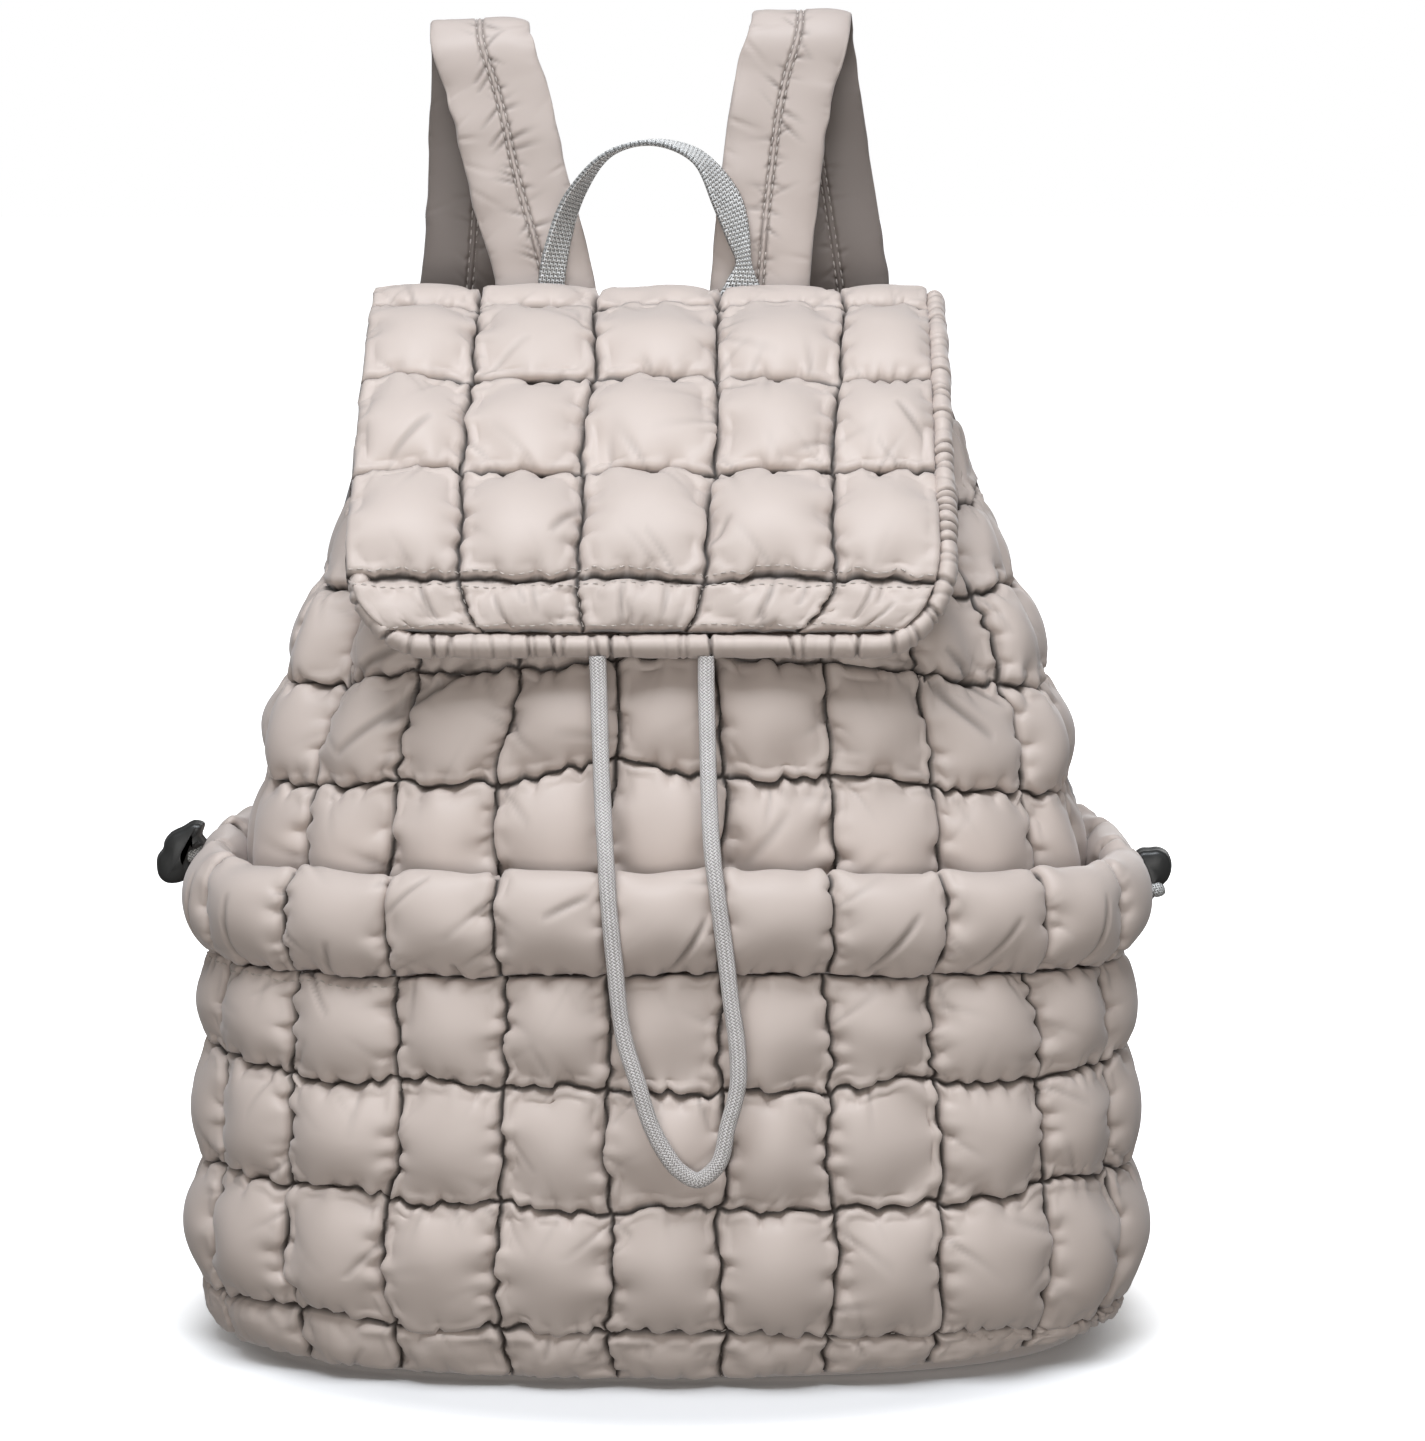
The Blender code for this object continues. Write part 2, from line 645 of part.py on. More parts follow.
def band_path(offset, shares):
    """Round the flap's three free edges at an offset outwards: x across and s down, from root to root."""
    side = FLAP_LENGTH - FLAP_CORNER
    front = 2 * (FLAP_HALF_WIDTH - FLAP_CORNER)
    corner = math.pi / 2 * FLAP_CORNER
    total = 2 * side + 2 * corner + front
    start = FLAP_ROWS[1] * BAND_START * FLAP_LENGTH
    xs = []
    ss = []
    for share in shares:
        run = start + share * (total - 2 * start)
        mirror = 1.0
        if run > total / 2:
            run = total - run
            mirror = -1.0
        if run < side:
            x = -(FLAP_HALF_WIDTH + offset)
            s = run
        elif run < side + corner:
            angle = (run - side) / FLAP_CORNER
            x = -(FLAP_HALF_WIDTH - FLAP_CORNER) - (FLAP_CORNER + offset) * math.cos(angle)
            s = side + (FLAP_CORNER + offset) * math.sin(angle)
        else:
            x = -(FLAP_HALF_WIDTH - FLAP_CORNER) + (run - side - corner)
            s = FLAP_LENGTH + offset
        xs.append(TOP_SHIFT + mirror * x)
        ss.append(s)
    return np.array(xs), np.array(ss)


def build_edge_band(finish):
    """The padded band stitched round the flap's sides and lip."""
    shares = np.linspace(0.0, 1.0, BAND_STATIONS)
    middle = BAND_WIDTH / 2 + BAND_GAP
    drop = -FLAP_WALL * BAND_DROP
    ring_points = []
    for k in range(BAND_SIDES):
        angle = 2 * math.pi * (k + 0.5) / BAND_SIDES
        out = middle + BAND_WIDTH / 2 * math.cos(angle) / math.cos(math.pi / BAND_SIDES)
        rise = drop + BAND_HEIGHT / 2 * math.sin(angle)
        x, s = band_path(out, shares)
        ring_points.append(flap_point(x, s, rise))
    return sweep_object("flap_edge_band", np.stack(ring_points, axis=1), finish)


def bar_rings(path, widths, thicknesses, aims, section):
    """Rings of a flat bar along a path that starts upwards and ends downwards. Each aim is the way
    its width points before it is squared up."""
    path = np.asarray(path, float)
    tangent = np.gradient(path, axis=0)
    tangent[0] = (0.0, 0.0, 1.0)
    tangent[-1] = (0.0, 0.0, -1.0)
    tangent /= np.linalg.norm(tangent, axis=1)[:, None]
    aims = np.asarray(aims, float)
    wide = aims - (aims * tangent).sum(axis=1)[:, None] * tangent
    wide /= np.linalg.norm(wide, axis=1)[:, None]
    thick = np.cross(tangent, wide)
    section = np.asarray(section, float)
    across = section[None, :, 0, None] * np.asarray(widths)[:, None, None] / 2 * wide[:, None, :]
    through = section[None, :, 1, None] * np.asarray(thicknesses)[:, None, None] / 2 * thick[:, None, :]
    return path[:, None, :] + across + through


HALF_STRAP_SECTION = ((-1.0, 0.0), (-0.8, -1.0), (0.0, -1.0), (0.8, -1.0))
STRAP_SECTION = HALF_STRAP_SECTION + tuple((-x, -y) for x, y in HALF_STRAP_SECTION)
WEBBING_SECTION = ((-1.0, -1.0), (1.0, -1.0), (1.0, 1.0), (-1.0, 1.0))
# Twist is carried along the path as a small length, so that it hardly counts in the path's run.
TWIST_SCALE = 0.01


def strap_path(sign):
    rest = PANEL_THICKNESS + SEAM_GAP + STRAP_THICKNESS / 2
    points = []
    for point in STRAP_LINE:
        x = TOP_SHIFT - point.rise**2 * STRAP_SWAY + sign * point.side * HALF_WIDTH
        z = point.height * BAG_HEIGHT + point.rise * STRAP_RISES[sign]
        crown = PANEL_CROWN * math.sin(math.pi * min(point.height, 1.0))
        y = float(back_plane(min(z, BAG_HEIGHT))) + rest + crown + point.bow * STRAP_BOW
        points.append((x, y, z))
    return smooth_path(points, STRAP_STATIONS)


def build_strap(name, sign, finish):
    """A padded strap: up from the crest, over in a loop and down to the bottom corner."""
    path = strap_path(sign)
    count = len(path)
    widths = np.full(count, STRAP_WIDTH)
    thicknesses = np.full(count, STRAP_THICKNESS)
    aims = np.tile((1.0, 0.0, 0.0), (count, 1))
    return sweep_object(name, bar_rings(path, widths, thicknesses, aims, STRAP_SECTION), finish)


def build_handle(finish):
    """A webbing loop, edge on at its top and turned face on where its ends are sewn down."""
    table = np.array(HANDLE_LINE)
    foot = PANEL_EDGES[-1].height * BAG_HEIGHT + SEAM_GAP
    y = float(back_plane(foot)) + PANEL_THICKNESS - HANDLE_SEAT * HANDLE_THICKNESS
    points = np.stack(
        [
            TOP_SHIFT + table[:, 0] * HANDLE_SPREAD,
            y + table[:, 2],
            foot + table[:, 1] * HANDLE_RISE,
            np.radians(table[:, 3]) * TWIST_SCALE,
            table[:, 4] * HANDLE_WIDTH,
        ],
        axis=1,
    )
    path = smooth_path(points, HANDLE_STATIONS)
    tangent = np.gradient(path[:, :3], axis=0)
    tangent[0] = (0.0, 0.0, 1.0)
    tangent[-1] = (0.0, 0.0, -1.0)
    tangent /= np.linalg.norm(tangent, axis=1)[:, None]
    edge_on = np.tile((0.0, 1.0, 0.0), (len(path), 1))
    face_on = np.cross(edge_on, tangent)
    twist = path[:, 3:4] / TWIST_SCALE
    aims = np.cos(twist) * edge_on + np.sin(twist) * face_on
    thicknesses = np.full(len(path), HANDLE_THICKNESS)
    rings = bar_rings(path[:, :3], path[:, 4], thicknesses, aims, WEBBING_SECTION)
    return sweep_object("grab_handle", rings, finish)


def cord_object(name, points, diameter, finish):
    """A round cord: a curve through the given points with a bevel and filled caps."""
    curve = bpy.data.curves.new(name, "CURVE")
    curve.dimensions = "3D"
    curve.bevel_depth = diameter / 2
    curve.bevel_resolution = 2
    curve.use_fill_caps = True
    spline = curve.splines.new("POLY")
    spline.points.add(len(points) - 1)
    for place, point in zip(spline.points, points):
        place.co = (*map(float, point), 1.0)
    curve.materials.append(finish)
    obj = bpy.data.objects.new(name, curve)
    bpy.context.scene.collection.objects.link(obj)
    return obj


def side_exit(sign):
    """Where a side cord leaves the casing: in the middle of the cell that is second from the back."""
    u = sign * (1.0 - 2 * SIDE_EXIT_CELL / POCKET_COLUMNS)
    height = SIDE_EXIT_HEIGHTS[sign]
    outside = [point for point in CASING_SECTION if 0.0 < point.height and point.out > 0.0]
    out = np.interp(height, [p.height for p in outside], [p.out for p in outside])
    foot = float(row_height(POCKET_ROWS, len(POCKET_ROWS) - 1, u)) + SEAM_GAP
    z = foot + height * CASING_HEIGHT
    return layer_point(POCKET_SECTIONS, u, z, out * CASING_THICKNESS + SIDE_CORD_GAP)


def build_side_cord(name, sign, finish):
    """The short end of the casing's elastic cord, standing out through its stopper."""
    start = side_exit(sign)
    shares = np.linspace(0.0, 1.0, 7)
    points = [
        start + np.array([sign * share * SIDE_CORD_LENGTH, 0.0, 0.0]) for share in shares
    ]
    return cord_object(name, points, SIDE_CORD_DIAMETER, finish)


def build_stopper(name, sign, finish):
    """A bean-shaped cord stopper with a bore for the side cord, lying against the casing."""
    stand_off = STOPPER_STAND_OFFS[sign] + STOPPER_THICKNESS / 2
    centre = side_exit(sign) + np.array([sign * stand_off, 0.0, 0.0])
    bean = bpy.data.meshes.new(name)
    work = bmesh.new()
    bmesh.ops.create_uvsphere(work, u_segments=12, v_segments=8, radius=1.0)
    for vert in work.verts:
        x, y, z = vert.co
        taper = 1.0 - STOPPER_TAPER * max(z, 0.0)
        vert.co.x = math.copysign(abs(x) ** STOPPER_ROUNDNESS, x) * STOPPER_THICKNESS / 2
        vert.co.y = y * taper * STOPPER_WIDTH / 2
        vert.co.z = z * STOPPER_LENGTH / 2
    work.to_mesh(bean)
    work.free()
    bean.shade_smooth()
    bean.materials.append(finish)
    obj = bpy.data.objects.new(name, bean)
    obj.location = centre
    bpy.context.scene.collection.objects.link(obj)
    drill = bpy.data.meshes.new(name + "_drill")
    work = bmesh.new()
    bore = SIDE_CORD_DIAMETER / 2 + STOPPER_BORE_GAP
    bmesh.ops.create_cone(
        work,
        cap_ends=True,
        segments=12,
        radius1=bore / math.cos(math.pi / 12),
        radius2=bore / math.cos(math.pi / 12),
        depth=3 * STOPPER_THICKNESS,
    )
    work.to_mesh(drill)
    work.free()
    cutter = bpy.data.objects.new(name + "_drill", drill)
    cutter.rotation_euler = (0.0, math.pi / 2, 0.0)
    cutter.location = centre
    cutter.hide_render = True
    cutter.display_type = "WIRE"
    bpy.context.scene.collection.objects.link(cutter)
    bored = obj.modifiers.new("bore", "BOOLEAN")
    bored.operation = "DIFFERENCE"
    bored.object = cutter
    return obj


def main():
    clear_scene()
    nylon = material("quilted_nylon", (0.47, 0.42, 0.385), 0.42)
    plain = material("plain_nylon", (0.40, 0.355, 0.33), 0.48)
    webbing = material("silver_webbing", (0.36, 0.355, 0.34), 0.45)
    braid = material("cord_braid", (0.68, 0.66, 0.64), 0.6)
    plastic = material("black_plastic", (0.02, 0.02, 0.019), 0.3)
    build_body(nylon)
    build_back_panel(plain)
    build_base(plain)
    build_pocket(nylon)
    build_casing(nylon)
    build_flap(nylon)
    build_edge_band(nylon)
    build_strap("shoulder_strap_left", -1, plain)
    build_strap("shoulder_strap_right", 1, plain)
    build_handle(webbing)
    cord_object("drawcord", smooth_path(DRAWCORD_ROUTE, DRAWCORD_STATIONS), DRAWCORD_DIAMETER, braid)
    for side, sign in (("left", -1), ("right", 1)):
        build_side_cord("side_cord_" + side, sign, webbing)
        build_stopper("cord_stopper_" + side, sign, plastic)


main()
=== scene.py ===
# %% [markdown]
# A quilted puffer backpack: a drawstring bag of padded nylon under a quilted flap, with a wrap-round
# pocket, two shoulder straps and a webbing handle. Its construction is already there as plain solids,
# loaded here as a fixed frame. This file makes every surface that shows: cloth blown up between its
# seams by a simulation, cords, webbing, stitches, and a finish for each of them.

# %% Load the frame
import math
from collections import namedtuple

import bpy
import numpy as np
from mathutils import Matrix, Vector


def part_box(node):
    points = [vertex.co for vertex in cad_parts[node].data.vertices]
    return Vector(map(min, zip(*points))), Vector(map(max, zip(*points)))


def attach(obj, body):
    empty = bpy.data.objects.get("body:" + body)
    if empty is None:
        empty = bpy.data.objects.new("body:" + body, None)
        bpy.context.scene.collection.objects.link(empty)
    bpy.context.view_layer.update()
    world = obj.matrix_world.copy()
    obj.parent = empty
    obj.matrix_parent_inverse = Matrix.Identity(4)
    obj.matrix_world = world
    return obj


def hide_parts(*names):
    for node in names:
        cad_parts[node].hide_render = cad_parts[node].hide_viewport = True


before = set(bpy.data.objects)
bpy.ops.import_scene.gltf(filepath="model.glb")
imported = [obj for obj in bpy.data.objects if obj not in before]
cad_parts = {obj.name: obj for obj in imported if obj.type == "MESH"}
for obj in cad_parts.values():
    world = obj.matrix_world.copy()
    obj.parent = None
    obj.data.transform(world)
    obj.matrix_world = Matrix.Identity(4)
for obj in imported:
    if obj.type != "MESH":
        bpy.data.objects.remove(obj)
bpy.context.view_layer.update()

print("frame loaded, nodes:", len(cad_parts))

# %% [markdown]
# The camera stands where the picture's did: 1.9 m in front, nine degrees above the level, with a long
# lens so that the bag's sides run nearly parallel. The image is a little taller than it is wide, so the
# sensor's width belongs to the height of the picture.

# %% Camera
CAMERA_DISTANCE = 1.9
CAMERA_ELEVATION = math.radians(9.0)
CAMERA_TARGET = (0.017, 0.0, 0.230)
CAMERA_LENS = 128.0
SENSOR_SIZE = 36.0


def add_camera():
    data = bpy.data.cameras.new("camera")
    data.lens = CAMERA_LENS
    data.sensor_width = SENSOR_SIZE
    camera = bpy.data.objects.new("camera", data)
    back = CAMERA_DISTANCE * math.cos(CAMERA_ELEVATION)
    up = CAMERA_DISTANCE * math.sin(CAMERA_ELEVATION)
    camera.location = (CAMERA_TARGET[0], CAMERA_TARGET[1] - back, CAMERA_TARGET[2] + up)
    camera.rotation_euler = (math.pi / 2 - CAMERA_ELEVATION, 0.0, 0.0)
    bpy.context.scene.collection.objects.link(camera)
    bpy.context.scene.camera = camera
    return camera


print("camera at", tuple(round(x, 3) for x in add_camera().location))

# %% [markdown]
# A studio for pale cloth: a white floor and a white surround, a wide cool light above and in front, so
# that every pillow is bright on top and dark underneath, and a warmer one low in front that reaches the
# pocket. A weak one at the right and one behind light the bag's other sides. The surround shows as white
# but lights the bag less than it shows, or the creases would fill up with light.

# %% Floor, surround and lights
FLOOR_SIZE = 14.0
FLOOR_DROP = 0.0004
FLOOR_COLOUR = (0.88, 0.875, 0.87, 1.0)
FLOOR_ROUGHNESS = 0.6
FLOOR_SPECULAR = 0.2
FLOOR_SHADED = 0.150
FLOOR_WHITE = 0.235
FLOOR_OVAL = (1.0, 1.25, 1.0)
FLOOR_GLOW = 1.1
SURROUND_LIGHT = 0.20
WHITE = (1.0, 1.0, 1.0, 1.0)
COOL = (0.885, 0.935, 1.0)
NEUTRAL = (1.0, 1.0, 1.0)
WARM = (1.0, 0.985, 0.965)
AreaLight = namedtuple("AreaLight", "name place aim width height power colour")
LIGHTS = (
    AreaLight("top_light", (-0.10, -0.75, 1.75), (0.0, 0.0, 0.20), 1.1, 0.9, 32.5, COOL),
    AreaLight("front_light", (-0.12, -2.3, 0.17), (0.0, 0.0, 0.10), 1.2, 0.9, 26.0, WARM),
    AreaLight("right_light", (1.6, -1.1, 0.85), (0.0, 0.0, 0.25), 0.8, 1.2, 1.5, NEUTRAL),
    AreaLight("back_light", (0.4, 1.9, 0.60), (0.0, 0.0, 0.22), 1.4, 0.9, 10.0, NEUTRAL),
)


def add_light(light):
    data = bpy.data.lights.new(light.name, "AREA")
    data.shape = "RECTANGLE"
    data.size = light.width
    data.size_y = light.height
    data.energy = light.power
    data.color = light.colour
    lamp = bpy.data.objects.new(light.name, data)
    place = np.array(light.place)
    aim = np.array(light.aim) - place
    flat = math.hypot(aim[0], aim[1])
    lamp.location = light.place
    lamp.rotation_euler = (math.atan2(flat, -aim[2]), 0.0, math.atan2(-aim[0], aim[1]))
    bpy.context.scene.collection.objects.link(lamp)


def add_surround():
    """White where the camera sees it, weaker where it lights the bag."""
    world = bpy.data.worlds.new("surround")
    world.use_nodes = True
    nodes, links = world.node_tree.nodes, world.node_tree.links
    background = nodes["Background"]
    background.inputs["Color"].default_value = WHITE
    path = nodes.new("ShaderNodeLightPath")
    strength = nodes.new("ShaderNodeMapRange")
    strength.inputs["To Min"].default_value = SURROUND_LIGHT
    strength.inputs["To Max"].default_value = 1.0
    links.new(path.outputs["Is Camera Ray"], strength.inputs["Value"])
    links.new(strength.outputs["Result"], background.inputs["Strength"])
    bpy.context.scene.world = world


def add_floor():
    """Pale under the bag, where its shadow falls, and glowing to white further out. Its glow is only
    seen: it doesn't light the bag."""
    half = FLOOR_SIZE / 2
    mesh = bpy.data.meshes.new("floor")
    corners = [(-half, -half), (half, -half), (half, half), (-half, half)]
    mesh.from_pydata([(x, y, -FLOOR_DROP) for x, y in corners], [], [(0, 1, 2, 3)])
    floor = bpy.data.objects.new("floor", mesh)
    paint = bpy.data.materials.new("pale_floor")
    paint.use_nodes = True
    shader = paint.node_tree.nodes["Principled BSDF"]
    shader.inputs["Base Color"].default_value = FLOOR_COLOUR
    shader.inputs["Roughness"].default_value = FLOOR_ROUGHNESS
    shader.inputs["Specular IOR Level"].default_value = FLOOR_SPECULAR
    shader.inputs["Emission Color"].default_value = WHITE
    nodes, links = paint.node_tree.nodes, paint.node_tree.links
    place = nodes.new("ShaderNodeTexCoord")
    oval = nodes.new("ShaderNodeVectorMath")
    oval.operation = "MULTIPLY"
    oval.inputs[1].default_value = FLOOR_OVAL
    distance = nodes.new("ShaderNodeVectorMath")
    distance.operation = "LENGTH"
    glow = nodes.new("ShaderNodeMapRange")
    glow.interpolation_type = "SMOOTHSTEP"
    glow.inputs["From Min"].default_value = FLOOR_SHADED
    glow.inputs["From Max"].default_value = FLOOR_WHITE
    glow.inputs["To Max"].default_value = FLOOR_GLOW
    links.new(place.outputs["Object"], oval.inputs[0])
    links.new(oval.outputs["Vector"], distance.inputs[0])
    links.new(distance.outputs["Value"], glow.inputs["Value"])
    links.new(glow.outputs["Result"], shader.inputs["Emission Strength"])
    mesh.materials.append(paint)
    bpy.context.scene.collection.objects.link(floor)
    floor.visible_diffuse = False
    floor.visible_glossy = False


add_surround()
add_floor()
for light in LIGHTS:
    add_light(light)
bpy.context.scene.view_settings.view_transform = "Standard"
print("lights:", len(LIGHTS))

# %% [markdown]
# Most surfaces here are grids of points worked out as whole arrays. These helpers join tables with
# smooth curves, give seeded wandering lines for cloth that is never quite even, and put a finished grid
# into a mesh with a UV map in metres, so that a weave keeps its scale wherever the surface goes.

# %% Curves and wandering lines
CURVE_STEPS = 800


def smooth_steps(t):
    """0 below 0, 1 above 1, and three t squared less two t cubed between."""
    t = np.clip(t, 0.0, 1.0)
    return t * t * (3.0 - 2.0 * t)


def smooth_table(x, knots, values):
    """Cubic curve through a table's points, whose slopes are those of the neighbouring points."""
    knots = np.asarray(knots, float)
    values = np.asarray(values, float)
    slopes = np.gradient(values, knots)
    x = np.clip(np.asarray(x, float), knots[0], knots[-1])
    k = np.clip(np.searchsorted(knots, x, side="right") - 1, 0, len(knots) - 2)
    step = knots[k + 1] - knots[k]
    t = (x - knots[k]) / step
    return (
        (1 + 2 * t) * (1 - t) ** 2 * values[k]
        + t * (1 - t) ** 2 * step * slopes[k]
        + t * t * (3 - 2 * t) * values[k + 1]
        + t * t * (t - 1) * step * slopes[k + 1]
    )


def run_of(path):
    """Length along a line of points, from 0 at its start."""
    return np.concatenate([[0.0], np.cumsum(np.linalg.norm(np.diff(path, axis=0), axis=1))])


def unit(vectors):
    """Vectors divided by their lengths."""
    return vectors / np.maximum(np.linalg.norm(vectors, axis=-1, keepdims=True), 1e-12)


def smooth_path(points, stations):
    """Points evenly spaced along a smooth curve through the given ones."""
    points = np.asarray(points, float)
    knots = run_of(points)
    fine = np.linspace(0.0, knots[-1], CURVE_STEPS)
    curve = np.stack([smooth_table(fine, knots, column) for column in points.T], axis=1)
    length = run_of(curve)
    even = np.linspace(0.0, length[-1], stations)
    return np.stack([np.interp(even, length, column) for column in curve.T], axis=1)


def wander(seed, line, x, wave):
    """Smooth random numbers from -1 to 1 along x, different for each whole number in line: seeded
    heights one wave apart, joined by smooth steps."""
    line, x = np.broadcast_arrays(line, np.asarray(x, float))
    t = (x - x.min()) / wave
    k = np.floor(t).astype(int)
    blend = smooth_steps(t - k)
    line = line.astype(int) - int(line.min())
    heights = np.random.default_rng(seed).uniform(-1.0, 1.0, (line.max() + 1, k.max() + 2))
    return heights[line, k] * (1 - blend) + heights[line, k + 1] * blend


def crumple(seed, a, b, wave, waves=14):
    """Smooth random hills over the plane (a, b): the mean of sine waves of nearly one length that run
    in seeded directions."""
    rng = np.random.default_rng(seed)
    turns = rng.uniform(0.0, 2 * math.pi, waves)
    lengths = wave * rng.uniform(0.7, 1.5, waves)
    starts = rng.uniform(0.0, 2 * math.pi, waves)
    total = np.zeros(np.broadcast(a, b).shape)
    for turn, length, start in zip(turns, lengths, starts):
        along = a * math.cos(turn) + b * math.sin(turn)
        total += np.sin(2 * math.pi * along / length + start)
    return total * math.sqrt(2.0 / waves)


def ring_angles(count):
    """Even angles once round, in radians."""
    return np.arange(count) / count * 2 * math.pi


# %% Grids into meshes
def grid_quads(rows, columns, round_rows=False, round_columns=False):
    """The corner numbers of each face of a grid whose points are numbered along its rows."""
    r = np.arange(rows if round_rows else rows - 1)[:, None]
    c = np.arange(columns if round_columns else columns - 1)[None, :]
    up = (r + 1) % rows
    right = (c + 1) % columns
    corners = [r * columns + c, r * columns + right, up * columns + right, up * columns + c]
    return np.stack(np.broadcast_arrays(*corners), axis=-1).reshape(-1, 4)


def grid_normals(points):
    """The normal at each point of a grid: the cross product of its two directions."""
    along = np.gradient(points, axis=1)
    up = np.gradient(points, axis=0)
    return unit(np.cross(along, up))


def finer(points, axis):
    """Doubles the lines of a grid: each new point is nine sixteenths of both neighbours less a
    sixteenth of the next ones out."""
    points = np.moveaxis(points, axis, 0)
    before = 2 * points[:1] - points[1:2]
    after = 2 * points[-1:] - points[-2:-1]
    wide = np.concatenate([before, points, after])
    middle = (9 * (wide[1:-2] + wide[2:-1]) - wide[:-3] - wide[3:]) / 16
    out = np.empty((2 * len(points) - 1,) + points.shape[1:])
    out[0::2] = points
    out[1::2] = middle
    return np.moveaxis(out, 0, axis)


def mesh_piece(name, points, quads, uv, finish, masks=None, caps=()):
    """A mesh from points and faces, with a UV map in metres, named masks and smooth shading."""
    mesh = bpy.data.meshes.new(name)
    mesh.from_pydata(points.tolist(), [], quads.tolist() + [list(map(int, cap)) for cap in caps])
    corner = np.empty(len(mesh.loops), np.int32)
    mesh.loops.foreach_get("vertex_index", corner)
    layer = mesh.uv_layers.new(name="cloth")
    layer.uv.foreach_set("vector", uv[corner].astype(np.float32).ravel())
    for mask, values in (masks or {}).items():
        attribute = mesh.attributes.new(mask, "FLOAT", "POINT")
        attribute.data.foreach_set("value", values.astype(np.float32).ravel())
    mesh.shade_smooth()
    mesh.materials.append(finish)
    piece = bpy.data.objects.new(name, mesh)
    bpy.context.scene.collection.objects.link(piece)
    return piece


def dress(piece, slot, *nodes):
    """Rides a piece on the bag's one body and hides the solids that it stands for. Its slot is not used."""
    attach(piece, "root")
    if nodes:
        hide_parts(*nodes)
    print(piece.name, "faces:", len(piece.data.polygons))
    return piece


# %% [markdown]
# Nylon is woven so finely that the picture shows only its satin light and its small creases, but a close
# view shows threads, so the weave is a node group that every cloth uses with its own thread count. A
# second group gives the slight unevenness of dyed cloth, and a third paints shade into the bottom of a
# crease, where little light reaches.

# %% Node groups shared by the finishes
def node_group(name, inputs, outputs):
    """An empty shader group with named inputs (name, kind, value) and outputs (name, kind)."""
    group = bpy.data.node_groups.new(name, "ShaderNodeTree")
    for label, kind, value in inputs:
        socket = group.interface.new_socket(name=label, in_out="INPUT", socket_type=kind)
        if value is not None:
            socket.default_value = value
    for label, kind in outputs:
        group.interface.new_socket(name=label, in_out="OUTPUT", socket_type=kind)
    return group, group.nodes.new("NodeGroupInput"), group.nodes.new("NodeGroupOutput")


def maths(group, operation, first, second):
    """One Math node in a tree: either side is a socket or a number."""
    node = group.nodes.new("ShaderNodeMath")
    node.operation = operation
    for socket, value in zip(node.inputs, (first, second)):
        if isinstance(value, bpy.types.NodeSocket):
            group.links.new(value, socket)
        else:
            socket.default_value = value
    return node.outputs[0]


def weave_group():
    """Height of a plain weave: the sine across the threads one way where the crossing sine is high, and
    the other way where it is low."""
    group, given, result = node_group(
        "plain_weave",
        (("Vector", "NodeSocketVector", None), ("Threads per metre", "NodeSocketFloat", 4000.0)),
        (("Height", "NodeSocketFloat"),),
    )
    parts = group.nodes.new("ShaderNodeSeparateXYZ")
    group.links.new(given.outputs["Vector"], parts.inputs["Vector"])
    half_turns = maths(group, "MULTIPLY", given.outputs["Threads per metre"], math.pi)
    across = maths(group, "MULTIPLY", parts.outputs["X"], half_turns)
    along = maths(group, "MULTIPLY", parts.outputs["Y"], half_turns)
    warp = maths(group, "ABSOLUTE", maths(group, "SINE", across, 0.0), 0.0)
    weft = maths(group, "ABSOLUTE", maths(group, "SINE", along, 0.0), 0.0)
    swap_across = maths(group, "COSINE", across, 0.0)
    swap_along = maths(group, "COSINE", along, 0.0)
    over = maths(group, "GREATER_THAN", maths(group, "MULTIPLY", swap_across, swap_along), 0.0)
    upper = maths(group, "MULTIPLY", warp, over)
    lower = maths(group, "MULTIPLY", weft, maths(group, "SUBTRACT", 1.0, over))
    group.links.new(maths(group, "ADD", upper, lower), result.inputs["Height"])
    return group


def noise(tree, **values):
    """A Noise node over the object's own space, with values on its named inputs."""
    node = tree.nodes.new("ShaderNodeTexNoise")
    place = tree.nodes.new("ShaderNodeTexCoord")
    tree.links.new(place.outputs["Object"], node.inputs["Vector"])
    for label, value in values.items():
        node.inputs[label].default_value = value
    return node


def mixed(tree, factor, low, high):
    """The result of a Mix node between two colours, each of which is a socket or a colour."""
    mix = tree.nodes.new("ShaderNodeMix")
    mix.data_type = "RGBA"
    tree.links.new(factor, mix.inputs["Factor"])
    for label, colour in (("A", low), ("B", high)):
        if isinstance(colour, bpy.types.NodeSocket):
            tree.links.new(colour, mix.inputs[label])
        else:
            mix.inputs[label].default_value = colour
    return mix.outputs["Result"]


def dye_group():
    """Slightly uneven dye and light wrinkles: two sizes of noise over the object."""
    group, given, result = node_group(
        "uneven_dye",
        (
            ("Colour", "NodeSocketColor", (0.5, 0.5, 0.5, 1.0)),
            ("Amount", "NodeSocketFloat", 0.06),
            ("Patches per metre", "NodeSocketFloat", 18.0),
        ),
        (("Colour", "NodeSocketColor"), ("Wrinkle", "NodeSocketFloat")),
    )
    patches = noise(group, Detail=3.0)
    group.links.new(given.outputs["Patches per metre"], patches.inputs["Scale"])
    wrinkles = noise(group, Scale=70.0, Detail=3.0, Roughness=0.55, Distortion=0.6)
    swing = maths(group, "SUBTRACT", patches.outputs["Fac"], 0.5)
    gain = maths(group, "ADD", maths(group, "MULTIPLY", swing, given.outputs["Amount"]), 1.0)
    scaled = group.nodes.new("ShaderNodeVectorMath")
    scaled.operation = "SCALE"
    group.links.new(given.outputs["Colour"], scaled.inputs[0])
    group.links.new(gain, scaled.inputs["Scale"])
    group.links.new(scaled.outputs["Vector"], result.inputs["Colour"])
    group.links.new(wrinkles.outputs["Fac"], result.inputs["Wrinkle"])
    return group


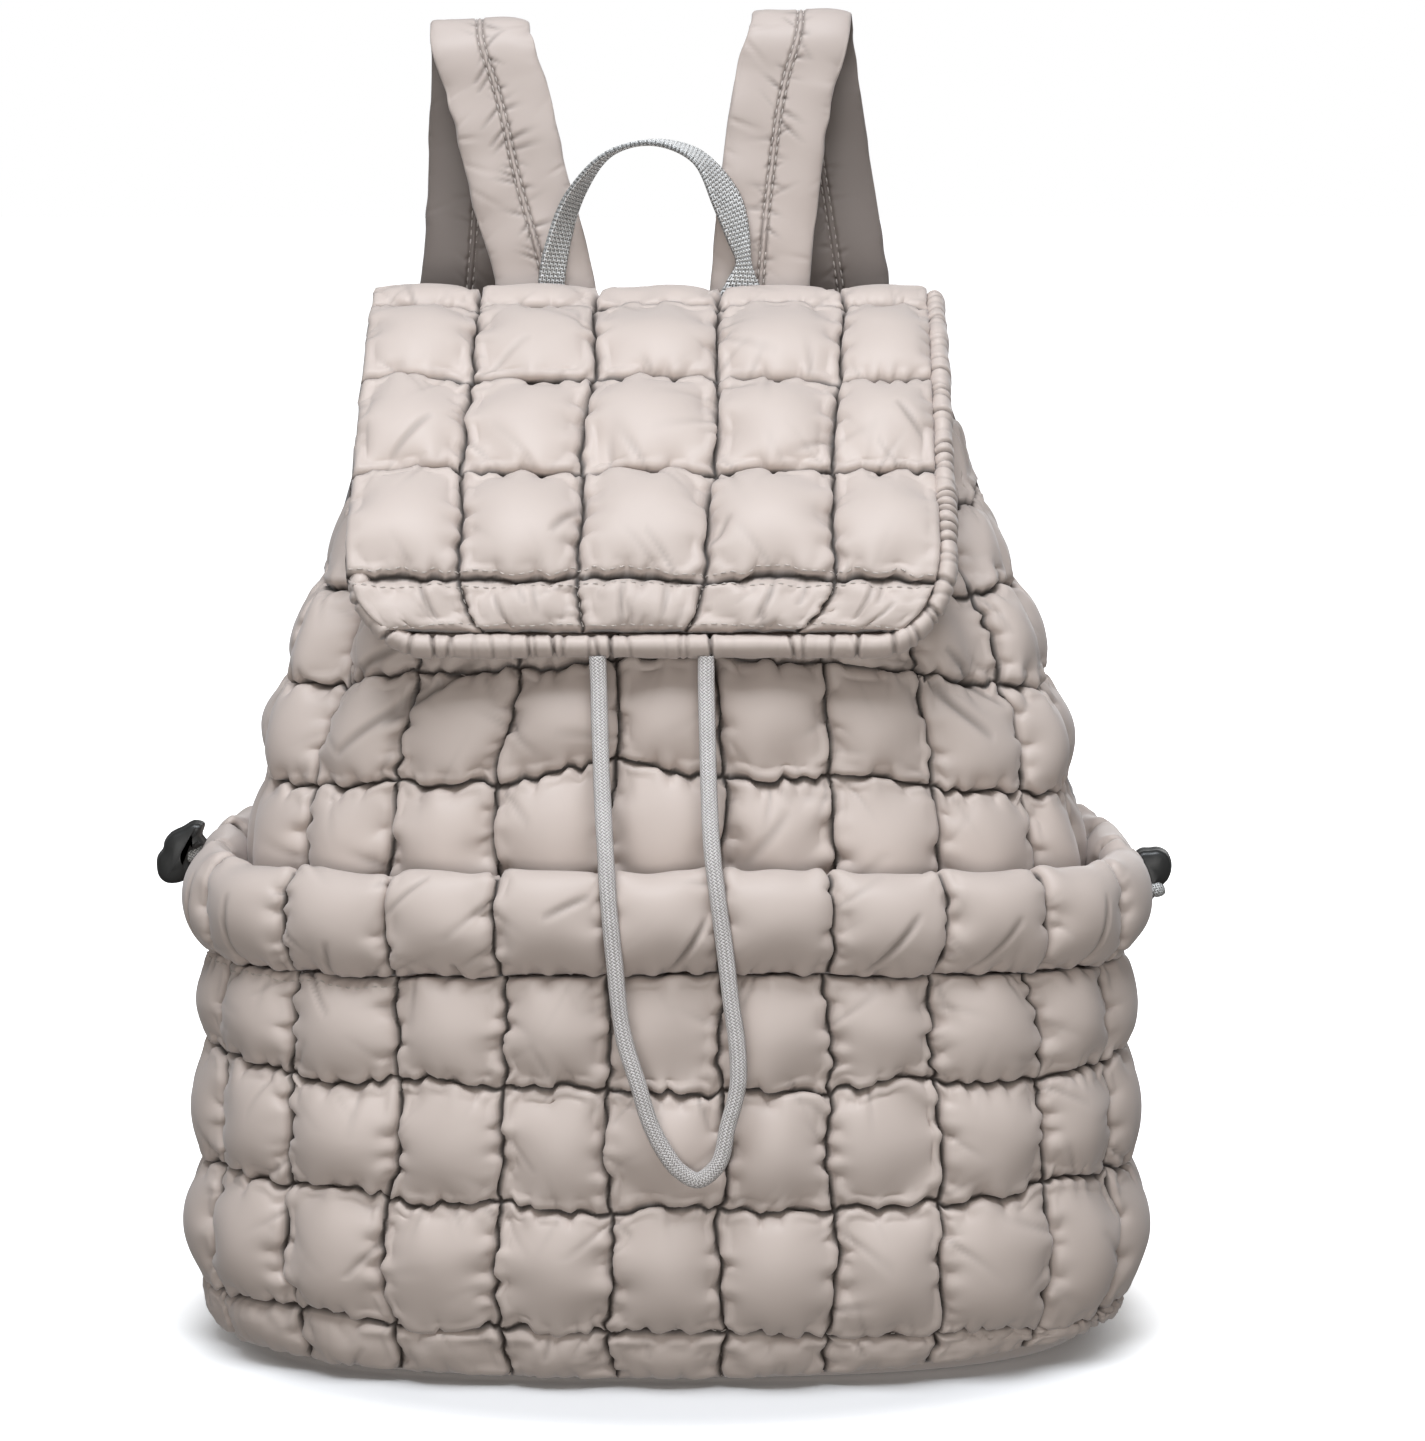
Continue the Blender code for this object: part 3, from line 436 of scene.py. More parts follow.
def crease_group():
    """Mixes a colour towards a darker one, the painted shade at the bottom of a crease, by one less the
    square of what the crease leaves, so that a seam's line stays dark across its width."""
    group, given, result = node_group(
        "seam_shade",
        (
            ("Colour", "NodeSocketColor", (0.5, 0.5, 0.5, 1.0)),
            ("Shade", "NodeSocketColor", (0.1, 0.09, 0.08, 1.0)),
            ("Crease", "NodeSocketFloat", 0.0),
        ),
        (("Colour", "NodeSocketColor"),),
    )
    lit = maths(group, "SUBTRACT", 1.0, given.outputs["Crease"])
    factor = maths(group, "SUBTRACT", 1.0, maths(group, "MULTIPLY", lit, lit))
    shaded = mixed(group, factor, given.outputs["Colour"], given.outputs["Shade"])
    group.links.new(shaded, result.inputs["Colour"])
    return group


PLAIN_WEAVE = weave_group()
UNEVEN_DYE = dye_group()
SEAM_SHADE = crease_group()


def placed(tree, group, **values):
    """A copy of a node group in a tree, with its own values on its named inputs."""
    node = tree.nodes.new("ShaderNodeGroup")
    node.node_tree = group
    for label, value in values.items():
        node.inputs[label.replace("_", " ")].default_value = value
    return node


def cloth_weave(tree, threads, turn=0.0):
    """The height of a weave laid on the cloth map and turned on it by so many degrees."""
    cloth_map = tree.nodes.new("ShaderNodeUVMap")
    cloth_map.uv_map = "cloth"
    turned = tree.nodes.new("ShaderNodeMapping")
    turned.inputs["Rotation"].default_value = (0.0, 0.0, math.radians(turn))
    weave = placed(tree, PLAIN_WEAVE, Threads_per_metre=threads)
    tree.links.new(cloth_map.outputs["UV"], turned.inputs["Vector"])
    tree.links.new(turned.outputs["Vector"], weave.inputs["Vector"])
    return weave.outputs["Height"]


def new_finish(name, roughness, specular=0.5):
    """A material with its node tree and its Principled shader."""
    finish = bpy.data.materials.new(name)
    finish.use_nodes = True
    shader = finish.node_tree.nodes["Principled BSDF"]
    shader.inputs["Roughness"].default_value = roughness
    shader.inputs["Specular IOR Level"].default_value = specular
    return finish, finish.node_tree, shader


def bump(tree, height, strength, distance, before=None):
    """A Bump node on a height, on top of an earlier one."""
    node = tree.nodes.new("ShaderNodeBump")
    node.inputs["Strength"].default_value = strength
    node.inputs["Distance"].default_value = distance
    tree.links.new(height, node.inputs["Height"])
    if before is not None:
        tree.links.new(before, node.inputs["Normal"])
    return node.outputs["Normal"]


print("node groups:", [group.name for group in bpy.data.node_groups])

# %% [markdown]
# The bag's nylon has a soft sheen: light spreads wide over each pillow and fades towards the seams. The
# straps and the back are plain nylon that looks a little darker.

# %% Nylon finishes
NYLON_COLOUR = (0.550, 0.468, 0.420, 1.0)
# NYLON_SHADE is painted shade: the colour that creases, seams and pinches darken towards.
NYLON_SHADE = (0.030, 0.021, 0.016, 1.0)
PLAIN_COLOUR = (0.490, 0.418, 0.378, 1.0)
SHEEN_TINT = (0.97, 0.96, 0.98, 1.0)
NYLON_THREADS = 4200.0


def nylon_finish(name, colour):
    """Dyed nylon, darkened by painted shade where the crease mask says, with sheen, light wrinkles and a fine
    weave.
    """
    finish, tree, shader = new_finish(name, roughness=0.52, specular=0.34)
    shader.inputs["Sheen Weight"].default_value = 0.25
    shader.inputs["Sheen Roughness"].default_value = 0.45
    shader.inputs["Sheen Tint"].default_value = SHEEN_TINT
    dye = placed(tree, UNEVEN_DYE, Colour=colour, Amount=0.10)
    seam = tree.nodes.new("ShaderNodeAttribute")
    seam.attribute_name = "crease"
    shade = placed(tree, SEAM_SHADE, Shade=NYLON_SHADE)
    tree.links.new(dye.outputs["Colour"], shade.inputs["Colour"])
    tree.links.new(seam.outputs["Fac"], shade.inputs["Crease"])
    tree.links.new(shade.outputs["Colour"], shader.inputs["Base Color"])
    wrinkled = bump(tree, dye.outputs["Wrinkle"], 0.25, 0.0004)
    woven = bump(tree, cloth_weave(tree, NYLON_THREADS), 0.12, 0.00008, wrinkled)
    tree.links.new(woven, shader.inputs["Normal"])
    return finish


QUILT_NYLON = nylon_finish("quilt_nylon", NYLON_COLOUR)
PLAIN_NYLON = nylon_finish("strap_nylon", PLAIN_COLOUR)
print("finishes:", QUILT_NYLON.name, PLAIN_NYLON.name)

# %% [markdown]
# Padded cloth: a panel is quilted by stitching an outer cloth to a lining through soft filling, so the
# cloth between the stitch lines is a little too large for its place. It swells, and beside each seam it
# has to pucker. That is what a cloth simulation does well. The panel starts as a grid on the stitch
# lines' surface with low pillows, the seams are pinned, the cloth is told that it is larger than its
# grid, and air pressure blows it up. The cloth's values were tried until the pillows looked right.

# %% Blow up a panel between its seams
CLOTH_FRAMES = 14
CLOTH_QUALITY = 4
CLOTH_MASS = 0.15
CLOTH_STIFFNESS = 20.0
CLOTH_SHEAR = 8.0
CLOTH_BENDING = 5.0
CLOTH_DRAG = 2.0
CLOTH_REACH = 0.016


def inflate(name, start, pinned, pressure, surplus):
    """The grid after the cloth simulation. Surplus is how much larger the cloth is than the grid, and no
    point travels further from its start than the cloth's reach."""
    rows, columns = start.shape[:2]
    mesh = bpy.data.meshes.new(name)
    mesh.from_pydata(start.reshape(-1, 3).tolist(), [], grid_quads(rows, columns).tolist())
    puffed = bpy.data.objects.new(name, mesh)
    bpy.context.scene.collection.objects.link(puffed)
    seams = puffed.vertex_groups.new(name="seams")
    seams.add(np.flatnonzero(pinned.ravel()).tolist(), 1.0, "REPLACE")
    cloth = puffed.modifiers.new("cloth", "CLOTH")
    settings = cloth.settings
    settings.quality = CLOTH_QUALITY
    settings.mass = CLOTH_MASS
    settings.tension_stiffness = CLOTH_STIFFNESS
    settings.compression_stiffness = CLOTH_STIFFNESS
    settings.shear_stiffness = CLOTH_SHEAR
    settings.bending_stiffness = CLOTH_BENDING
    settings.air_damping = CLOTH_DRAG
    settings.vertex_group_mass = "seams"
    settings.shrink_min = -surplus
    settings.use_pressure = True
    settings.uniform_pressure_force = pressure
    settings.effector_weights.gravity = 0.0
    cloth.collision_settings.use_collision = False
    cloth.point_cache.frame_start = 1
    cloth.point_cache.frame_end = CLOTH_FRAMES
    scene = bpy.context.scene
    for step in range(1, CLOTH_FRAMES + 1):
        scene.frame_set(step)
    shown = puffed.evaluated_get(bpy.context.evaluated_depsgraph_get())
    found = np.empty(rows * columns * 3, np.float32)
    shown.data.vertices.foreach_get("co", found)
    bpy.data.objects.remove(puffed, do_unlink=True)
    scene.frame_set(1)
    move = found.reshape(start.shape) - start
    far = np.linalg.norm(move, axis=-1, keepdims=True)
    return start + move * np.minimum(1.0, CLOTH_REACH / np.maximum(far, 1e-9))


# %% [markdown]
# A quilted panel is worked out in cells: one number counts the columns across it and another the rows
# up it, and a surface function turns both into a place on the bag. Seams lie at the whole numbers, and
# they wander a little, as hand-guided seams do. After the simulation the middle of each pillow is drawn
# smooth and the grid is doubled. Then come the forms that are finer than the simulated grid can hold:
# the seams sink in a narrow cusp, the cloth plumps up beside them, and short creases run out from them.

# %% One quilted panel
GRID_STEP = 0.0023
ON_LINE = 1e-6
PILLOW_START = 0.45
PILLOW_FULLNESS = 0.55
SEAM_SWAY = 0.0016
SWAY_WAVE = 0.0036
SWAY_WIDTH = 0.20
SEAM_DRIFT = 0.0026
DRIFT_WAVE = 0.030
DRIFT_WIDTH = 0.40
TAUT_FROM = 0.0030
TAUT_OVER = 0.0100
TAUT_PULL = 0.8
TAUT_ROUNDS = 12
SEAM_SINK = 0.0028
SEAM_WIDTH = 0.0007
PLUMPNESS = 0.0024
PLUMP_WITHIN = 0.0046
SEAM_LINE = 2.0
EDGE_SHARE = 0.35
PINCH_PITCH = 0.0085
PINCH_DEPTH = 0.0014
PINCH_WIDTH = 0.0007
PINCH_SPREAD = 0.07
PINCH_SLANT = 0.9
PINCH_LENGTH = 0.0085
PINCH_SHORTEST = 0.3
PINCH_LONGER = 1.6
PINCH_SHADE = 0.22
WRINKLE_SHADE = 180.0


def pillow(t):
    """The outline of a filled cell: the sine across it to a power below one, so that it is full."""
    return np.abs(np.sin(math.pi * t)) ** PILLOW_FULLNESS


def cell_lines(counts):
    """Grid lines through cells, each with its own count of steps."""
    lines = [k + np.arange(count) / count for k, count in enumerate(counts)]
    return np.concatenate(lines + [np.array([float(len(counts))])])


def swayed(cells, other, length, other_length, count, seed, sway):
    """Moves the grid lines near each inner seam sideways: a quick sway close to the seam and a slow drift
    of a wider strip, each falling off as a bell across it."""
    seam = np.round(cells)
    gap = cells - seam
    inner = (seam > 0) & (seam < count)
    along = other * other_length
    quick = SEAM_SWAY * wander(seed, seam, along, SWAY_WAVE) * np.exp(-((gap / SWAY_WIDTH) ** 2))
    slow = SEAM_DRIFT * wander(seed + 1, seam, along, DRIFT_WAVE) * np.exp(-((gap / DRIFT_WIDTH) ** 2))
    return cells + sway * inner * (quick + slow) / length


def drawn_taut(points, taut):
    """Smooths a grid: each round moves a point towards its four neighbours' mean, by the pull times how
    taut the cloth is there."""
    for _ in range(TAUT_ROUNDS):
        wide = np.pad(points, ((1, 1), (1, 1), (0, 0)), mode="edge")
        mean = (wide[:-2, 1:-1] + wide[2:, 1:-1] + wide[1:-1, :-2] + wide[1:-1, 2:]) / 4
        points = points + (mean - points) * (TAUT_PULL * taut[..., None])
    return points


def seam_distance(across, up, column_length, row_lengths):
    """Distance from the nearest column seam and from the nearest row seam, in metres."""
    cell = np.clip(np.floor(up).astype(int), 0, len(row_lengths) - 1)
    from_column = np.abs(across - np.round(across)) * column_length
    from_row = np.abs(up - np.round(up)) * np.array(row_lengths)[cell]
    return from_column, from_row


def crease_bell(off, shoulder, spread):
    """A crease's section: a bell less a lower, wider one, which leaves a raised shoulder on each side.
    Off is the square of the distance from its line, and spread how much wider the shoulders' one is."""
    return np.exp(-off) - shoulder * np.exp(-off / spread)


def pinches(seed, line, along, away, pitch=PINCH_PITCH, length=PINCH_LENGTH, fewness=2.5):
    """Creases that run out from a seam, one to each pitch along it, with a seeded place, slant, length
    and depth. Each widens and grows shallower with the distance from the seam. The higher fewness is,
    the fewer of them are deep."""
    line, along, away = np.broadcast_arrays(line, np.asarray(along, float), away)
    line = line.astype(int) - int(line.min())
    first = along.min() - pitch
    cell = np.floor((along - first) / pitch).astype(int)
    rng = np.random.default_rng(seed)
    places, slants, lengths, depths = rng.uniform(0.0, 1.0, (4, line.max() + 1, cell.max() + 2))
    total = np.zeros(line.shape)
    for near in (cell - 1, cell, cell + 1):
        middle = first + (near + places[line, near]) * pitch
        across = along - middle - PINCH_SLANT * (2 * slants[line, near] - 1) * away
        bell = crease_bell((across / (PINCH_WIDTH + PINCH_SPREAD * away)) ** 2, 0.25, 6)
        reach = length * (PINCH_SHORTEST + PINCH_LONGER * lengths[line, near] ** 2)
        total += depths[line, near] ** fewness * bell * np.exp(-((away / reach) ** 2))
    return total


Wrinkle = namedtuple("Wrinkle", "start end depth width")


def long_wrinkles(wrinkles, across, up, column_length, row_length):
    """Long creases in the cloth, each along the line between its two ends, given in cells. It fades
    towards both ends by the root of a sine."""
    total = np.zeros(across.shape)
    scale = np.array((column_length, row_length))
    for wrinkle in wrinkles:
        start, end = np.array(wrinkle.start) * scale, np.array(wrinkle.end) * scale
        length = np.linalg.norm(end - start)
        way = (end - start) / length
        x, y = across * column_length - start[0], up * row_length - start[1]
        share = np.clip((x * way[0] + y * way[1]) / length, 0.0, 1.0)
        bell = crease_bell(((x * way[1] - y * way[0]) / wrinkle.width) ** 2, 0.15, 9)
        total += wrinkle.depth * bell * np.sin(math.pi * share) ** 0.5
    return total


def quilted_panel(
    name, surface, column_length, columns, row_lengths, puffs, seed, surplus,
    pressure=6.0, wrinkles=(), gathered=None, sway=1.0, seam_depth=1.0,
):
    """Surface(across, up, out) gives points. Returns the blown-up panel on its doubled grid. Gathered
    gives how strongly the cloth is pinched at (across, up), where that isn't the same everywhere. Sway
    and seam depth are shares of the usual ones."""
    column_steps = max(6, round(column_length / GRID_STEP))
    row_steps = [max(3, round(length / GRID_STEP)) for length in row_lengths]
    mean_row = sum(row_lengths) / len(row_lengths)
    across, up = np.meshgrid(cell_lines([column_steps] * columns), cell_lines(row_steps))
    full = np.array(list(puffs) + [0.0])[np.minimum(np.floor(up).astype(int), len(puffs))]
    raised = PILLOW_START * full * pillow(across) * pillow(up)
    across_swayed = swayed(across, up, column_length, mean_row, columns, seed, sway)
    up_swayed = swayed(up, across, mean_row, column_length, len(row_lengths), seed + 2, sway)
    start = surface(across_swayed, up_swayed, raised)
    on_seam = (np.abs(across - np.round(across)) < ON_LINE) | (np.abs(up - np.round(up)) < ON_LINE)
    points = inflate(name, start, on_seam, pressure, surplus)
    nearest = np.minimum(*seam_distance(across, up, column_length, row_lengths))
    points = drawn_taut(points, smooth_steps((nearest - TAUT_FROM) / TAUT_OVER))
    across, up, points = (finer(finer(grid, 0), 1) for grid in (across, up, points))
    from_column, from_row = seam_distance(across, up, column_length, row_lengths)
    rim = (np.round(up) == 0) | (np.round(up) == len(row_lengths))
    side = (np.round(across) == 0) | (np.round(across) == columns)
    by_column = np.exp(-from_column / SEAM_WIDTH) * np.where(side, EDGE_SHARE, 1.0)
    by_row = np.exp(-from_row / SEAM_WIDTH) * np.where(rim, EDGE_SHARE, 1.0)
    sink = np.maximum(by_column, by_row)
    column_side = 2 * np.round(across) + (across > np.round(across))
    row_side = 2 * np.round(up) + (up > np.round(up))
    pinched = pinches(seed + 4, column_side, up * mean_row, from_column)
    pinched += pinches(seed + 5, row_side, across * column_length, from_row)
    if gathered is not None:
        pinched = pinched * gathered(across, up)
    folded = long_wrinkles(wrinkles, across, up, column_length, mean_row)
    plump = PLUMPNESS * (1 - np.exp(-from_column / PLUMP_WITHIN)) * (1 - np.exp(-from_row / PLUMP_WITHIN))
    lift = plump - PINCH_DEPTH * pinched * (1 - sink) - SEAM_SINK * seam_depth * sink - folded
    points = points + grid_normals(points) * lift[..., None]
    # The crease mask is painted shade: darkest in the seams' cusps, lighter in the pinches and long wrinkles.
    shades = (PINCH_SHADE * np.clip(pinched, 0.0, 1.0), WRINKLE_SHADE * np.clip(folded, 0.0, 1.0))
    crease = np.maximum(sink**SEAM_LINE, np.maximum(*shades))
    print(name, "grid", points.shape[:2])
    return points, crease, across * column_length, up * mean_row


def roll_piece(name, grid, crease, along, up, finish, slot, node):
    """A padded closed piece from a grid whose last row meets its first. Both ends are capped."""
    rows, columns = grid.shape[:2]
    left = np.arange(rows) * columns
    caps = (left, left[::-1] + columns - 1)
    quads = grid_quads(rows, columns, round_rows=True)
    uv = np.stack([along, up], axis=-1).reshape(-1, 2)
    piece = mesh_piece(name, grid.reshape(-1, 3), quads, uv, finish, {"crease": crease}, caps)
    return dress(piece, slot, node)


def shell_piece(name, outer, crease, along, up, inner, finish, slot, node):
    """A padded closed wall: the outer grid from bottom to top, then the inner grid from top to bottom,
    joined round the rim, the hem and both ends."""
    plain = inner.shape[:2]
    down = np.linspace(up.max() + 0.01, 2 * up.max(), len(inner))[:, None]
    grid = np.concatenate([outer, inner])
    crease = np.concatenate([crease, np.zeros(plain)])
    along = np.concatenate([along, np.broadcast_to(along[-1], plain)])
    up = np.concatenate([up, np.broadcast_to(down, plain)])
    return roll_piece(name, grid, crease, along, up, finish, slot, node)


# %% [markdown]
# Where the picture shows the thread itself, each stitch is a small bar that dips into the cloth at both
# ends. All the stitches of a seam are made at once as one joined mesh, with few faces each.

# %% Stitches
STITCH_LENGTH = 0.0027
STITCH_PITCH = 0.0036
THREAD_RADIUS = 0.00030
THREAD_ENDS = 0.55
STITCH_RISE = 0.00045
STITCH_STATIONS = 5
STITCH_SIDES = 6
THREAD_COLOUR = (0.50, 0.445, 0.405, 1.0)


def thread_finish():
    """Twisted thread: its plies are a weave as fine as they are."""
    finish, tree, shader = new_finish("sewing_thread", 0.45)
    dye = placed(tree, UNEVEN_DYE, Colour=THREAD_COLOUR, Amount=0.35, Patches_per_metre=400.0)
    tree.links.new(dye.outputs["Colour"], shader.inputs["Base Color"])
    tree.links.new(bump(tree, cloth_weave(tree, 2600.0), 0.5, 0.0001), shader.inputs["Normal"])
    return finish


THREAD = thread_finish()


def stitched(name, lines, slot):
    """One mesh of stitches. Each line is a path and its normals. A stitch's height above the path is the
    sine along it times the rise, less a thread's radius, so its ends are in the cloth. It thins towards
    both ends, which are closed by two faces each."""
    points, faces, uv, start = [], [], [], 0
    share = np.linspace(0.0, 1.0, STITCH_STATIONS)
    arch = np.sin(math.pi * share)
    turn = ring_angles(STITCH_SIDES)
    sides = grid_quads(STITCH_STATIONS, STITCH_SIDES, round_columns=True)
    size = STITCH_STATIONS * STITCH_SIDES
    ends = np.array([np.arange(STITCH_SIDES)[::-1], size - STITCH_SIDES + np.arange(STITCH_SIDES)])
    for path, normals in lines:
        run = run_of(path)
        first = np.arange(STITCH_PITCH / 2, run[-1] - STITCH_PITCH, STITCH_PITCH)
        at = first[:, None] + share[None, :] * STITCH_LENGTH
        middle = np.stack([np.interp(at, run, column) for column in path.T], axis=-1)
        up = unit(np.stack([np.interp(at, run, column) for column in normals.T], axis=-1))
        side = unit(np.cross(np.gradient(middle, axis=1), up))
        middle = middle + up * (STITCH_RISE * arch - THREAD_RADIUS)[None, :, None]
        radius = (THREAD_ENDS + (1 - THREAD_ENDS) * arch)[None, :, None, None] * THREAD_RADIUS
        rings = middle[:, :, None] + radius * (
            np.cos(turn)[:, None] * side[:, :, None] + np.sin(turn)[:, None] * up[:, :, None]
        )
        offsets = start + np.arange(len(first))[:, None, None] * size
        closed = (ends[None] + offsets).reshape(-1, STITCH_SIDES)
        faces.append((sides[None] + offsets).reshape(-1, 4))
        faces.append(np.concatenate([closed[:, [0, 1, 2, 3]], closed[:, [0, 3, 4, 5]]]))
        points.append(rings.reshape(-1, 3))
        around = turn[None, None, :] * THREAD_RADIUS
        uv.append(np.stack(np.broadcast_arrays(at[:, :, None], around), axis=-1).reshape(-1, 2))
        start += len(first) * size
    points = np.concatenate(points)
    piece = mesh_piece(name, points, np.concatenate(faces), np.concatenate(uv), THREAD)
    return dress(piece, slot)


# %% [markdown]
# The bag's plan is a D: a rounded front between flat-ended sides that are sewn to the back panel. Its
# sections up the bag are the same short tables as in the construction, as shares of the bag's sizes, so
# the dressed cloth lies on the plain solids. Half widths are shares of half the width, and reach is the
# share of the depth from the back plane to the front.

# %% The bag's sections
BAG_HEIGHT = 0.380
BAG_WIDTH = 0.340
BACK_DEPTH = 0.074
BAG_DEPTH = 0.171
BACK_LEAN = 0.010
HALF_WIDTH = BAG_WIDTH / 2
ROUNDNESS = 2.6
WIDEST = 0.55
ROW_TURN = 0.7
SEAM_GAP = 0.0003
BODY_WALL = 0.0040
POCKET_WALL = 0.0030
BODY_PUFF = 0.0080
POCKET_PUFF = 0.0080
Section = namedtuple("Section", "height half_width reach back_half_width")
BODY_SECTIONS = (
    Section(0.042, 0.900, 0.851, 0.840),
    Section(0.263, 0.915, 0.848, 0.850),
    Section(0.490, 0.872, 0.825, 0.822),
    Section(0.591, 0.846, 0.796, 0.802),
    Section(0.691, 0.790, 0.743, 0.753),
    Section(0.760, 0.730, 0.651, 0.703),
    Section(0.818, 0.684, 0.513, 0.665),
    Section(0.847, 0.660, 0.430, 0.644),
    Section(0.908, 0.616, 0.321, 0.600),
)
POCKET_SECTIONS = (
    Section(0.000, 0.965, 0.925, 0.912),
    Section(0.016, 0.976, 0.940, 0.918),
    Section(0.058, 1.003, 0.979, 0.935),
    Section(0.118, 1.018, 0.993, 0.941),
    Section(0.184, 1.003, 0.989, 0.935),
    Section(0.295, 0.990, 0.977, 0.925),
    Section(0.404, 0.978, 0.957, 0.922),
    Section(0.505, 0.978, 0.954, 0.922),
)
Row = namedtuple("Row", "front left right puff")
BODY_ROWS = (
    Row(0.0421, 0.0421, 0.0421, 0.0),
    Row(0.4550, 0.4250, 0.4250, 1.0),
    Row(0.5913, 0.5540, 0.5370, 1.0),
    Row(0.6911, 0.6518, 0.6518, 1.0),
    Row(0.7605, 0.7387, 0.7387, 0.8),
    Row(0.8184, 0.8224, 0.8224, 0.5),
    Row(0.8474, 0.8895, 0.8895, 0.0),
)
POCKET_ROWS = (
    Row(0.0060, 0.0110, 0.0263, 0.6),
    Row(0.0590, 0.0660, 0.0400, 1.0),
    Row(0.1816, 0.1870, 0.1870, 1.0),
    Row(0.2947, 0.2950, 0.2950, 1.0),
    Row(0.4040, 0.3890, 0.3890, 0.0),
)
Fold = namedtuple("Fold", "middle width depth start full")
BODY_FOLDS = (
    Fold(-0.54, 0.050, 0.026, 0.52, 0.70),
    Fold(0.50, 0.045, 0.026, 0.56, 0.72),
    Fold(-0.74, 0.035, 0.010, 0.60, 0.76),
    Fold(0.70, 0.040, 0.014, 0.60, 0.74),
)


def back_plane(z):
    """The plane that the back panel's front face lies in, leaning forwards as it rises."""
    return BACK_DEPTH - BACK_LEAN * np.asarray(z) / BAG_HEIGHT


def plan_point(turn, half_width, front, back_half_width, back):
    """The D-shaped plan: a quarter of a rounded oval from the front middle to the widest point, as turn
    goes from 0 to 1, and a side that draws in with the square of the way to the back, from 1 to 2."""
    widest = front + WIDEST * (back - front)
    angle = np.clip(turn, 0.0, 1.0) * math.pi / 2
    side = np.clip(turn - 1.0, 0.0, 1.0)
    x = half_width * np.sin(angle) ** (2 / ROUNDNESS) - (half_width - back_half_width) * side**2
    y = widest - (widest - front) * np.cos(angle) ** (2 / ROUNDNESS) + (back - widest) * side
    return x, y


def even_turns():
    """Turn against the share of the way round, worked out on the fullest section."""
    fullest = max(POCKET_SECTIONS, key=lambda section: section.half_width)
    turns = np.linspace(0.0, 2.0, 2001)
    x, y = plan_point(
        turns,
        fullest.half_width * HALF_WIDTH,
        BACK_DEPTH - fullest.reach * BAG_DEPTH,
        fullest.back_half_width * HALF_WIDTH,
        BACK_DEPTH,
    )
    length = run_of(np.stack([x, y], axis=1))
    return length / length[-1], turns, float(length[-1])


ROUND_SHARES, ROUND_TURNS, HALF_ROUND = even_turns()


def layer_point(sections, u, z, out=0.0):
    """A point on a layer of the bag: u from -1 to 1 goes round the front, out is the offset outwards."""
    u, z, out = np.broadcast_arrays(np.asarray(u, float), np.asarray(z, float), out)
    heights = [section.height * BAG_HEIGHT for section in sections]
    half_width = smooth_table(z, heights, [s.half_width * HALF_WIDTH for s in sections]) + out
    reach = smooth_table(z, heights, [s.reach * BAG_DEPTH for s in sections]) + out
    back_half = smooth_table(z, heights, [s.back_half_width * HALF_WIDTH for s in sections]) + out
    back = back_plane(z) - SEAM_GAP
    turn = np.interp(np.abs(u), ROUND_SHARES, ROUND_TURNS)
    x, y = plan_point(turn, half_width, back_plane(z) - reach, back_half, back)
    return np.stack([np.sign(u) * x, y, z], axis=-1)


def row_height(rows, level, u):
    """The height of a stitched row, and of anything between two rows, at u: rows rise or fall from the
    front middle to the sides in a smooth step."""
    level, u = np.broadcast_arrays(np.asarray(level, float), np.asarray(u, float))
    blend = smooth_steps(np.abs(u) / ROW_TURN)
    low = np.clip(np.floor(level).astype(int), 0, len(rows) - 2)
    part = level - low
    front, left, right = (np.array([row[k] for row in rows]) for k in range(3))
    side = np.where(u < 0, left[low], right[low]), np.where(u < 0, left[low + 1], right[low + 1])
    below = front[low] + (side[0] - front[low]) * blend
    above = front[low + 1] + (side[1] - front[low + 1]) * blend
    return BAG_HEIGHT * (below * (1 - part) + above * part)


def fold_depth(u, z):
    """How far the body's folds press in: a bell across each fold, growing up it in a smooth step."""
    depth = np.zeros(np.broadcast(u, z).shape)
    for fold in BODY_FOLDS:
        across = np.exp(-(((u - fold.middle) / fold.width) ** 2))
        up = smooth_steps((z / BAG_HEIGHT - fold.start) / (fold.full - fold.start))
        depth = depth + fold.depth * BAG_WIDTH * across * up
    return depth


print("half way round the bag:", round(HALF_ROUND, 4), "m")

# %% [markdown]
# The main body is quilted from just under the pocket's top edge up to the gathered mouth. Below that it
# is hidden in the pocket, so plain cloth with few rows does. Two folds on each side draw the cloth in
# towards the mouth, and long wrinkles run from them.

# %% Main body
BODY_COLUMNS = 13
BODY_GIRTH = 0.86
HIDDEN_LENGTH = 0.15
BODY_QUILT_ROWS = BODY_ROWS[1:]
BODY_WRINKLES = (
    Wrinkle((3.8, 1.55), (4.7, 2.15), 0.0022, 0.0018),
    Wrinkle((3.4, 1.30), (4.2, 1.95), 0.0016, 0.0016),
    Wrinkle((3.1, 1.90), (3.9, 2.40), 0.0020, 0.0020),
    Wrinkle((8.8, 2.20), (9.6, 1.50), 0.0020, 0.0020),
    Wrinkle((9.3, 2.35), (9.9, 1.80), 0.0020, 0.0018),
    Wrinkle((7.2, 0.35), (7.6, 0.80), 0.0008, 0.0016),
)


def row_lengths(rows):
    """Each row's mean length up the cloth, from its lower seam to its upper one."""
    middles = [(2 * row.front + row.left + row.right) / 4 * BAG_HEIGHT for row in rows]
    return [high - low for low, high in zip(middles[:-1], middles[1:])]


def body_surface(across, up, out):
    """The body's layer at a column and a row, less the folds that press into it."""
    u = across / BODY_COLUMNS * 2 - 1
    z = row_height(BODY_QUILT_ROWS, up, u)
    return layer_point(BODY_SECTIONS, u, z, out - fold_depth(u, z))


